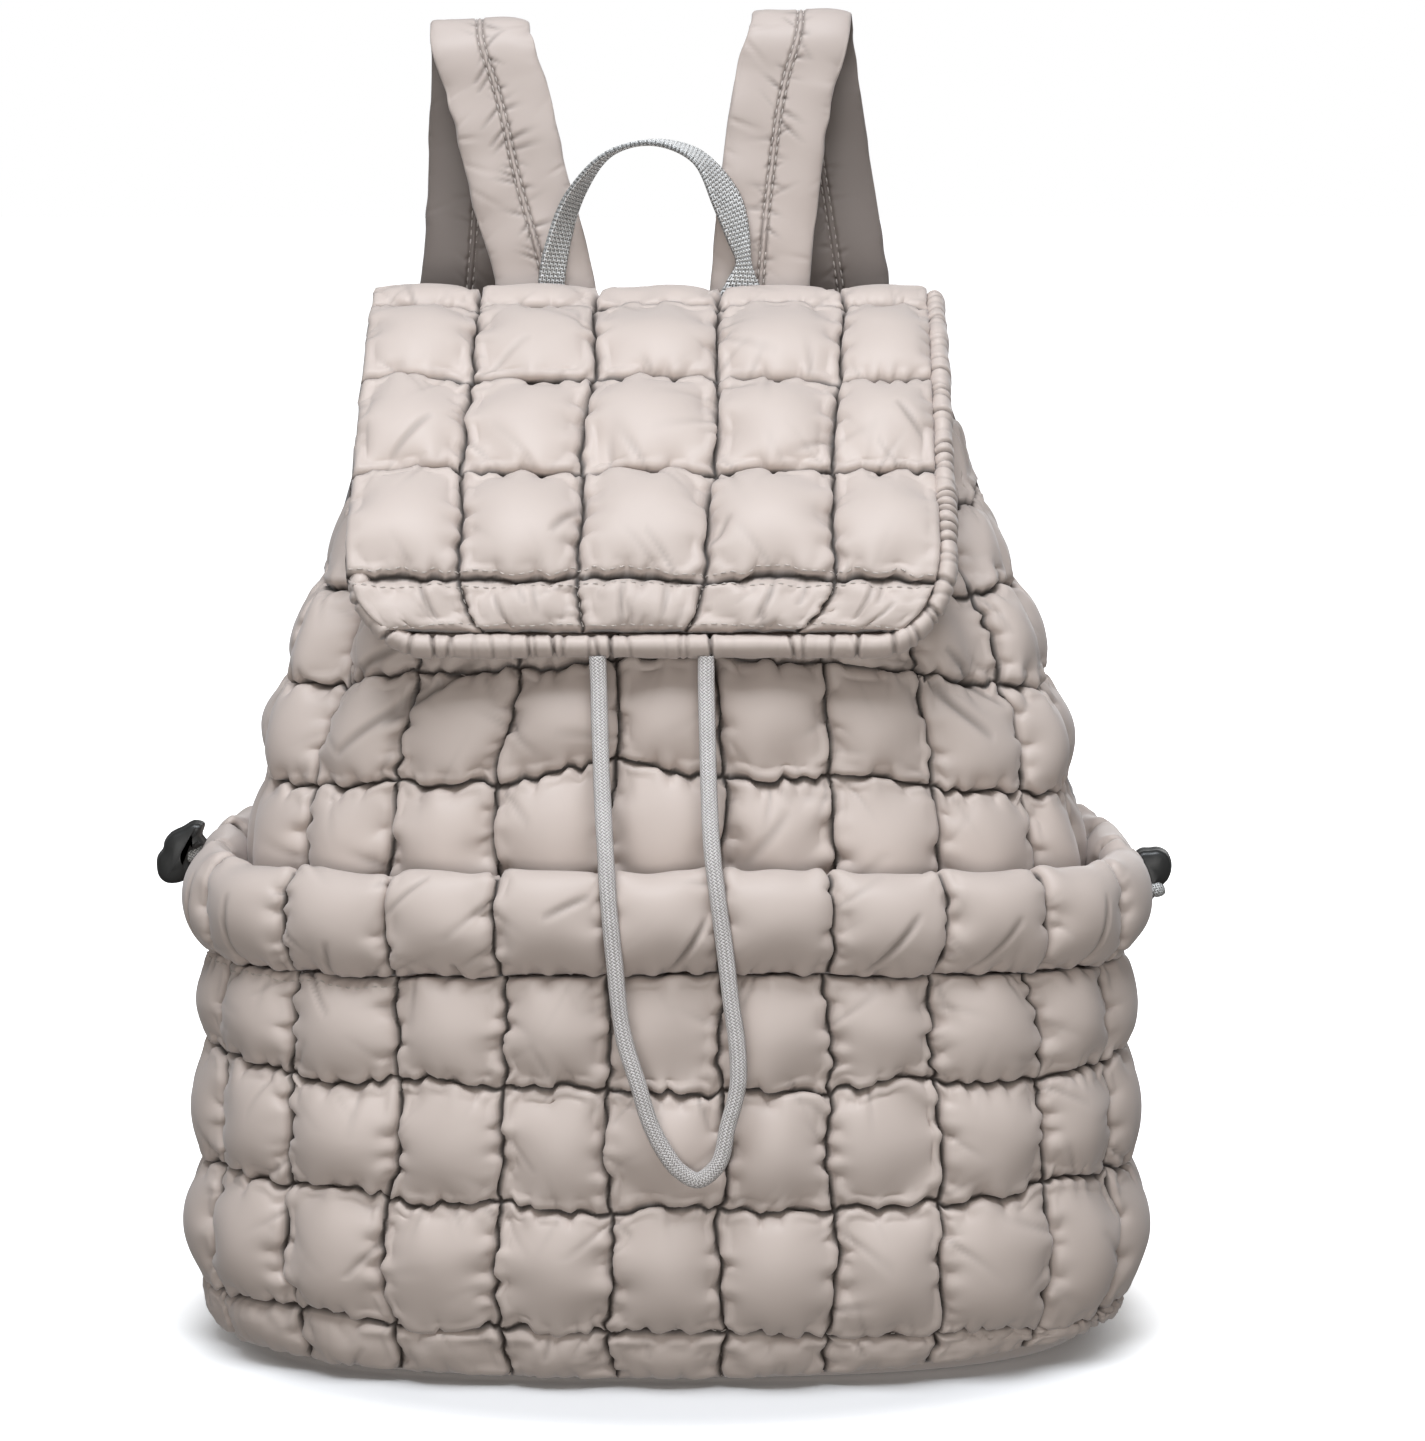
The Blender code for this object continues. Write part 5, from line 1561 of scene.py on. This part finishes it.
# %% Grab handle
HANDLE_WIDTH = 0.020
HANDLE_THICKNESS = 0.0024
HANDLE_SPREAD = 0.0363
HANDLE_RISE = 0.0670
HANDLE_STATIONS = 220
HANDLE_FOOT = 0.3728
TWIST_SCALE = 0.01
WEBBING_MIDDLE = 0.86
WEBBING_EDGE = 0.45
HandlePoint = namedtuple("HandlePoint", "side rise back twist narrow")
HANDLE_LINE = (
    HandlePoint(-1.09, 0.00, 0.0000, 75.0, 0.52),
    HandlePoint(-1.09, 0.06, 0.0000, 75.0, 0.52),
    HandlePoint(-1.08, 0.20, 0.0000, 68.0, 0.52),
    HandlePoint(-1.01, 0.42, -0.0012, 44.0, 0.62),
    HandlePoint(-0.81, 0.72, -0.0015, 22.0, 0.80),
    HandlePoint(-0.46, 0.94, -0.0020, 5.0, 0.85),
    HandlePoint(0.00, 1.00, -0.0020, 0.0, 0.85),
    HandlePoint(0.42, 0.93, -0.0020, -12.0, 0.90),
    HandlePoint(0.73, 0.70, -0.0015, -34.0, 0.90),
    HandlePoint(0.88, 0.46, -0.0012, -56.0, 0.50),
    HandlePoint(0.93, 0.33, -0.0006, -72.0, 0.30),
    HandlePoint(0.92, 0.20, 0.0000, -78.0, 0.66),
    HandlePoint(0.91, 0.08, 0.0000, -80.0, 0.98),
    HandlePoint(0.91, 0.00, 0.0000, -80.0, 1.00),
)


def webbing_section(sides_flat=12):
    """A flat strip with rounded, slightly thicker edges: across and through as shares of their halves."""
    across = np.linspace(-1.0, 1.0, sides_flat)
    through = WEBBING_MIDDLE + (1 - WEBBING_MIDDLE) * np.abs(across) ** 6
    through[[0, -1]] = WEBBING_EDGE
    return np.concatenate([across, across[::-1]]), np.concatenate([-through, through[::-1]])


def make_handle():
    """Twist and width are smoothed along the path together with its points. The twist is scaled down for
    that, so that it hardly counts in the path's length."""
    side, rise, back, twist, narrow = np.array(HANDLE_LINE).T
    foot = HANDLE_FOOT + SEAM_GAP
    y = float(back_plane(foot)) + PANEL_THICKNESS - 1.25 * HANDLE_THICKNESS
    places = (TOP_SHIFT + side * HANDLE_SPREAD, y + back, foot + rise * HANDLE_RISE)
    points = np.stack([*places, np.radians(twist) * TWIST_SCALE, narrow * HANDLE_WIDTH], axis=1)
    path = smooth_path(points, HANDLE_STATIONS)
    line, twist, width = path[:, :3], path[:, 3:4] / TWIST_SCALE, path[:, 4:]
    tangent, edge_on, face_on = path_frames(line, (0.0, 1.0, 0.0))
    wide = np.cos(twist) * edge_on - np.sin(twist) * face_on
    across, depth = webbing_section()
    depth = np.tile(depth * HANDLE_THICKNESS / 2, (len(line), 1))
    rings = rings_round(line, wide, np.cross(tangent, wide), across * width / 2, depth)
    return bar_piece(
        "webbing_handle", rings, run_of(line), 2 * HANDLE_WIDTH, SILVER_WEBBING,
        "silver_webbing", "grab_handle",
    )


make_handle()

# %% [markdown]
# The drawcord is a flat tubular braid, limp, 6 mm wide. Both ends go back under the flap, and the loop
# between them hangs in front of the pocket, where the picture shows all of it. Its route is the same
# list of points as the cord's in the construction.

# %% Drawcord
DRAWCORD_DIAMETER = 0.0060
DRAWCORD_THICKNESS = 0.0036
DRAWCORD_STATIONS = 420
DRAWCORD_SIDES = 20
DRAWCORD_GIRTH = 0.0156
DRAWCORD_SQUARENESS = 0.85
DRAWCORD_UNEVENNESS = 0.03
DRAWCORD_WAVE = 0.01
DRAWCORD_ROUTE = (
    (-0.0238, -0.0780, 0.2655),
    (-0.0234, -0.0795, 0.2560),
    (-0.0230, -0.0835, 0.2430),
    (-0.0219, -0.0930, 0.2180),
    (-0.0208, -0.1010, 0.2005),
    (-0.0197, -0.1050, 0.1833),
    (-0.0177, -0.1063, 0.1617),
    (-0.0139, -0.1080, 0.1321),
    (-0.0093, -0.1095, 0.1172),
    (-0.0047, -0.1098, 0.1023),
    (-0.0002, -0.1098, 0.0933),
    (0.0050, -0.1098, 0.0862),
    (0.0119, -0.1098, 0.0825),
    (0.0179, -0.1098, 0.0868),
    (0.0225, -0.1098, 0.1024),
    (0.0260, -0.1095, 0.1172),
    (0.0256, -0.1085, 0.1321),
    (0.0235, -0.1075, 0.1468),
    (0.0218, -0.1063, 0.1617),
    (0.0189, -0.1050, 0.1833),
    (0.0168, -0.1010, 0.2005),
    (0.0158, -0.0930, 0.2180),
    (0.0151, -0.0835, 0.2430),
    (0.0148, -0.0795, 0.2560),
    (0.0147, -0.0780, 0.2655),
)


def make_drawcord():
    """A flattened oval whose cosine is raised to a power below one, so that its edges are blunt."""
    path = smooth_path(DRAWCORD_ROUTE, DRAWCORD_STATIONS)
    run = run_of(path)
    tangent = unit(np.gradient(path, axis=0))
    wide = unit(np.cross(tangent, (0.0, -1.0, 0.0)))
    turn = ring_angles(DRAWCORD_SIDES)
    girth = 1 + DRAWCORD_UNEVENNESS * wander(101, 0, run, DRAWCORD_WAVE)[:, None]
    blunt = np.sign(np.cos(turn)) * np.abs(np.cos(turn)) ** DRAWCORD_SQUARENESS
    across = blunt * girth * DRAWCORD_DIAMETER / 2
    depth = np.sin(turn) * girth * DRAWCORD_THICKNESS / 2
    rings = rings_round(path, wide, np.cross(tangent, wide), across, depth)
    piece = bar_piece(
        "braided_drawcord", rings, run, DRAWCORD_GIRTH, CORD_BRAID, "cord_braid", "drawcord"
    )
    print("drawcord length", round(float(run[-1]), 4))


make_drawcord()

# %% [markdown]
# At each side a short end of the casing's elastic cord comes out through a moulded cord lock. The left
# one is seen askew, with its wedge-shaped plunger up; the right one is seen nearly edge on, with the
# folded end of the cord showing under it.

# %% Side cords
SIDE_CORD_DIAMETER = 0.0058
SIDE_STATIONS = 60
SIDE_SIDES = 16
SIDE_END_SHARE = 0.16
SIDE_ROUTES = {
    -1: (
        (0.0, 0.0, 0.0), (-0.0025, -0.0002, -0.0001), (-0.0055, -0.0008, -0.0006),
        (-0.0100, -0.0012, -0.0020),
    ),
    1: ((0.0, 0.0, 0.0), (0.0040, -0.0015, -0.0012), (0.0085, -0.0045, -0.0035), (0.0125, -0.0062, -0.0052)),
}


def side_exit(node, sign):
    """The middle of the end of a side cord that lies against the casing."""
    low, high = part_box(node)
    x = low[0] if sign > 0 else high[0]
    return np.array([x, (low[1] + high[1]) / 2, (low[2] + high[2]) / 2])


def make_side_cord(side, sign):
    """A round cord whose radius draws in by a square root over its last stretch, as a rounded end."""
    node = "side_cord_" + side
    route = side_exit(node, sign) + np.array(SIDE_ROUTES[sign])
    path = smooth_path(route, SIDE_STATIONS)
    run = run_of(path)
    _, wide, through = path_frames(path, (0.0, 0.0, 1.0), ends=False)
    turn = ring_angles(SIDE_SIDES)
    end = np.sqrt(np.clip((1.0 - run / run[-1]) / SIDE_END_SHARE, 0.02, 1.0))
    radius = (SIDE_CORD_DIAMETER / 2 * end)[:, None]
    rings = rings_round(path, wide, through, radius * np.cos(turn), radius * np.sin(turn))
    girth = math.pi * SIDE_CORD_DIAMETER
    return bar_piece("side_braid_" + side, rings, run, girth, SIDE_BRAID, "silver_webbing", node)


make_side_cord("left", -1)
make_side_cord("right", 1)

# %% [markdown]
# The locks are moulded plastic, near black, with a fine grain from the mould. Its gloss is slightly worn,
# so the roughness changes over the surface.

# %% Black plastic
PLASTIC_COLOUR = (0.022, 0.022, 0.021, 1.0)
PLASTIC_ROUGHNESS = (0.28, 0.46)
PLASTIC_GRAIN = 3500.0


def plastic_finish():
    """The roughness runs between its two values by the light wrinkles' noise."""
    finish, tree, shader = new_finish("satin_black_plastic", 0.34)
    dye = placed(tree, UNEVEN_DYE, Colour=PLASTIC_COLOUR, Amount=0.5, Patches_per_metre=300.0)
    grain = noise(tree, Scale=PLASTIC_GRAIN)
    tree.links.new(dye.outputs["Colour"], shader.inputs["Base Color"])
    spread = tree.nodes.new("ShaderNodeMapRange")
    spread.inputs["To Min"].default_value, spread.inputs["To Max"].default_value = PLASTIC_ROUGHNESS
    tree.links.new(dye.outputs["Wrinkle"], spread.inputs["Value"])
    tree.links.new(spread.outputs["Result"], shader.inputs["Roughness"])
    tree.links.new(bump(tree, grain.outputs["Fac"], 0.15, 0.00004), shader.inputs["Normal"])
    return finish


BLACK_PLASTIC = plastic_finish()

# %% [markdown]
# A cord lock is a moulded barrel with a plunger in it. Its outline, seen from in front, is a closed table
# of points as shares of its half width and half height, and a rounded edge is swept round the outline:
# each point is drawn in as it nears either face, and a shallow groove runs round the middle.

# %% Cord locks
LOCK_OUTLINES = {
    -1: (
        (-0.66, -0.98), (-0.20, -1.00), (0.22, -0.84), (0.42, -0.52), (0.30, -0.20), (0.36, 0.04),
        (0.72, 0.16), (1.00, 0.34), (0.84, 0.56), (0.92, 0.94), (0.62, 1.00), (0.10, 0.80),
        (-0.46, 0.56), (-0.66, 0.34), (-0.72, 0.12), (-0.96, -0.16), (-1.00, -0.50), (-0.90, -0.82),
    ),
    1: (
        (-0.52, -1.00), (-0.12, -0.86), (0.24, -0.58), (0.52, -0.30), (0.84, -0.06), (1.00, 0.24),
        (0.98, 0.58), (0.74, 0.88), (0.34, 1.00), (-0.12, 0.98), (-0.56, 0.96), (-0.86, 0.80),
        (-0.94, 0.46), (-0.90, 0.10), (-0.96, -0.30), (-0.94, -0.66), (-0.78, -0.92),
    ),
}
LOCK_SIZES = {-1: (0.0178, 0.0228), 1: (0.0140, 0.0216)}
LOCK_DEPTH = 0.0120
LOCK_ROUND = 0.0032
LOCK_AROUND = 160
LOCK_RINGS = 14
LOCK_GROOVE = 0.0009
LOCK_GROOVE_WIDTH = 0.0012
LOCK_DRAW = 0.8
LOCK_FACE = 0.72
LOCK_BULGE = 0.0006
LOCK_GIRTH = 0.06


def lock_outline(sign):
    """The outline as an even closed curve: the table's points joined by one smooth curve."""
    table = np.array(LOCK_OUTLINES[sign]) * np.array(LOCK_SIZES[sign]) / 2
    closed = np.concatenate([table[-3:], table, table[:3]])
    knots = run_of(closed)
    fine = np.linspace(knots[3], knots[-3], LOCK_AROUND + 1)[:-1]
    return np.stack([smooth_table(fine, knots, column) for column in closed.T], axis=1)


def lock_face(ring, push):
    """A smaller ring inside an end ring, pushed out a little, so that the face is slightly crowned."""
    middle = ring.mean(axis=0)
    return (middle + (ring - middle) * LOCK_FACE + (0.0, push, 0.0))[None]


def make_lock(side, sign):
    """At sine t of the way from the middle to a face, a ring is drawn in by a quarter oval of t cubed, and
    by a bell at the middle for the groove."""
    node = "cord_stopper_" + side
    middle = np.array(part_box(node)).mean(axis=0)
    outline = lock_outline(sign)
    x, z = outline.T
    area = np.sum(x * np.roll(z, -1) - z * np.roll(x, -1))
    inward = unit(np.stack([-np.gradient(z), np.gradient(x)], axis=1)) * np.sign(area)
    t = np.sin(np.linspace(-math.pi / 2, math.pi / 2, LOCK_RINGS))
    draw = LOCK_ROUND * (1 - np.sqrt(np.clip(1 - np.abs(t) ** 6, 0.0, 1.0)))
    depth = t * LOCK_DEPTH / 2
    groove = LOCK_GROOVE * np.exp(-((depth / LOCK_GROOVE_WIDTH) ** 2))
    rings = outline[None, :, :] + (draw - groove)[:, None, None] * inward[None, :, :] * LOCK_DRAW
    deep = np.broadcast_to(middle[1] + depth[:, None], rings.shape[:2])
    points = np.stack([middle[0] + rings[..., 0], deep, middle[2] + rings[..., 1]], axis=-1)
    faces = lock_face(points[0], -LOCK_BULGE), lock_face(points[-1], LOCK_BULGE)
    points = np.concatenate([faces[0], points, faces[1]])
    run = np.arange(len(points)) / len(points) * LOCK_DEPTH
    return bar_piece("cord_lock_" + side, points, run, LOCK_GIRTH, BLACK_PLASTIC, "black_plastic", node)


make_lock("left", -1)
make_lock("right", 1)

# %% [markdown]
# Behind the bag is a plain padded panel that lies against the wearer's back. It is one piece of nylon
# over foam, stitched to the bag round its edge, with two stitch lines down it that keep the foam still.
# It is pinned along its edge and along these lines, and blown up as the quilted panels are.

# %% Back panel
PanelEdge = namedtuple("PanelEdge", "height half_width")
PANEL_EDGES = (
    PanelEdge(0.008, 0.930),
    PanelEdge(0.060, 0.950),
    PanelEdge(0.200, 0.950),
    PanelEdge(0.400, 0.925),
    PanelEdge(0.500, 0.925),
    PanelEdge(0.570, 0.840),
    PanelEdge(0.720, 0.760),
    PanelEdge(0.840, 0.690),
    PanelEdge(0.910, 0.650),
    PanelEdge(0.981, 0.612),
)
PANEL_PUFF = 0.0030
PANEL_COLUMNS = 3
PANEL_SKIN = 0.0012
PANEL_ROLL = 0.0042
PANEL_SQUARENESS = 24
PANEL_MEAN_WIDTH = 0.85
SHIFT_FROM = 0.75
SHIFT_OVER = 0.2


def panel_surface(across, up, out):
    """Across counts the three columns from left to right as seen from behind, up goes from 0 at the
    bottom to 1 at the top. The back is crowned by the sine up it and the square across it."""
    side = across / PANEL_COLUMNS * 2 - 1
    edges = np.array(PANEL_EDGES)
    height = edges[0, 0] + up * (edges[-1, 0] - edges[0, 0])
    z = height * BAG_HEIGHT
    half = smooth_table(height, edges[:, 0], edges[:, 1]) * HALF_WIDTH
    shift = TOP_SHIFT * smooth_steps((height - SHIFT_FROM) / SHIFT_OVER)
    crown = PANEL_CROWN * np.sin(math.pi * up) * (1 - side**2)
    rounded = PANEL_ROLL * (1 - np.sqrt(np.maximum(1 - np.abs(side) ** PANEL_SQUARENESS, 0.0)))
    y = back_plane(z) + PANEL_THICKNESS - PANEL_SKIN + crown - rounded + out
    return np.stack(np.broadcast_arrays(shift - side * half, y, z), axis=-1)


def make_back_panel():
    edges = np.array(PANEL_EDGES)
    length = (edges[-1, 0] - edges[0, 0]) * BAG_HEIGHT
    width = 2 * PANEL_MEAN_WIDTH * HALF_WIDTH / PANEL_COLUMNS
    outer, crease, along, up = quilted_panel(
        "back_panel_cloth", panel_surface, width, PANEL_COLUMNS, [length], [PANEL_PUFF], 111, 0.02,
        pressure=2.5,
    )
    levels = np.linspace(1.0, 0.0, 12)[:, None]
    inner = panel_surface((along[0] / width)[None, :], levels, 0.0)
    inner[..., 1] = back_plane(inner[..., 2])
    return shell_piece(
        "padded_back_panel", outer, crease, along, up, inner, PLAIN_NYLON, "plain_nylon", "back_panel"
    )


make_back_panel()

# %% [markdown]
# The bottom is a plain panel that turns up inside the pocket's hem. Only its edge shows from in front,
# and the whole of it from below: it is flat, and puckered where the hem gathers it. Its rings are
# offsets of the pocket's plan, from the hem inwards to the middle.

# %% Base panel
BASE_THICKNESS = 0.0155
BASE_ROUND = 0.010
HEM_GAP = 0.0008
BASE_AROUND = 900
BASE_FRONT_SHARE = 0.72
BASE_RINGS = 22
BASE_PUCKER = 0.0006
BASE_PUCKER_WAVE = 0.006
BASE_STEP = 0.004
UPPER_SHARES = (0.6, 0.95)
UNDER_SHARES = (0.93, 0.8, 0.6, 0.4, 0.2)
BasePoint = namedtuple("BasePoint", "height inset")
BASE_SECTION = (
    BasePoint(1.00, 0.00),
    BasePoint(0.80, 0.00),
    BasePoint(0.50, 0.08),
    BasePoint(0.20, 0.42),
    BasePoint(0.05, 0.74),
    BasePoint(0.00, 1.00),
)


def base_plan(out):
    """The pocket's plan near the floor, closed by a straight line along the back plane."""
    share = np.linspace(-1.0, 1.0, int(BASE_AROUND * BASE_FRONT_SHARE))
    z = np.full_like(share, BASE_THICKNESS * 0.5)
    front = layer_point(POCKET_SECTIONS, share, z, out)[:, :2]
    back = np.linspace(front[-1], front[0], BASE_AROUND - len(share) + 2)[1:-1]
    return np.concatenate([front, back])


def make_base():
    """Each ring is the plan at its height, drawn in by its inset and by seeded puckers that grow and fade
    up the edge as a sine. Smaller copies of the end rings close the top and the underside."""
    section = [(point.height * BASE_THICKNESS, -point.inset * BASE_ROUND) for point in BASE_SECTION]
    rings = []
    for height, inset in smooth_path(section, BASE_RINGS):
        plan = base_plan(inset - POCKET_WALL - HEM_GAP)
        rings.append(np.column_stack([plan, np.full(len(plan), height)]))
    rings = np.array(rings)
    around = run_of(rings[0])
    pucker = BASE_PUCKER * np.abs(wander(121, 0, around, BASE_PUCKER_WAVE))[None, :, None]
    fade = np.sin(np.linspace(0.0, math.pi, len(rings)))[:, None, None]
    centre = rings[-1].mean(axis=0)
    under = centre + (rings[-1] - centre) * np.array(UNDER_SHARES)[:, None, None]
    rings[..., :2] -= pucker * fade * unit(rings[:, :, :2] - centre[:2])
    top = centre + (rings[0] - centre) * np.array(UPPER_SHARES)[:, None, None]
    top[..., 2] = BASE_THICKNESS
    grid = np.concatenate([top, rings, under])
    run = np.arange(len(grid)) * BASE_STEP
    return bar_piece(
        "base_panel_cloth", grid, run, float(around[-1]), PLAIN_NYLON, "plain_nylon", "bag_base"
    )


make_base()
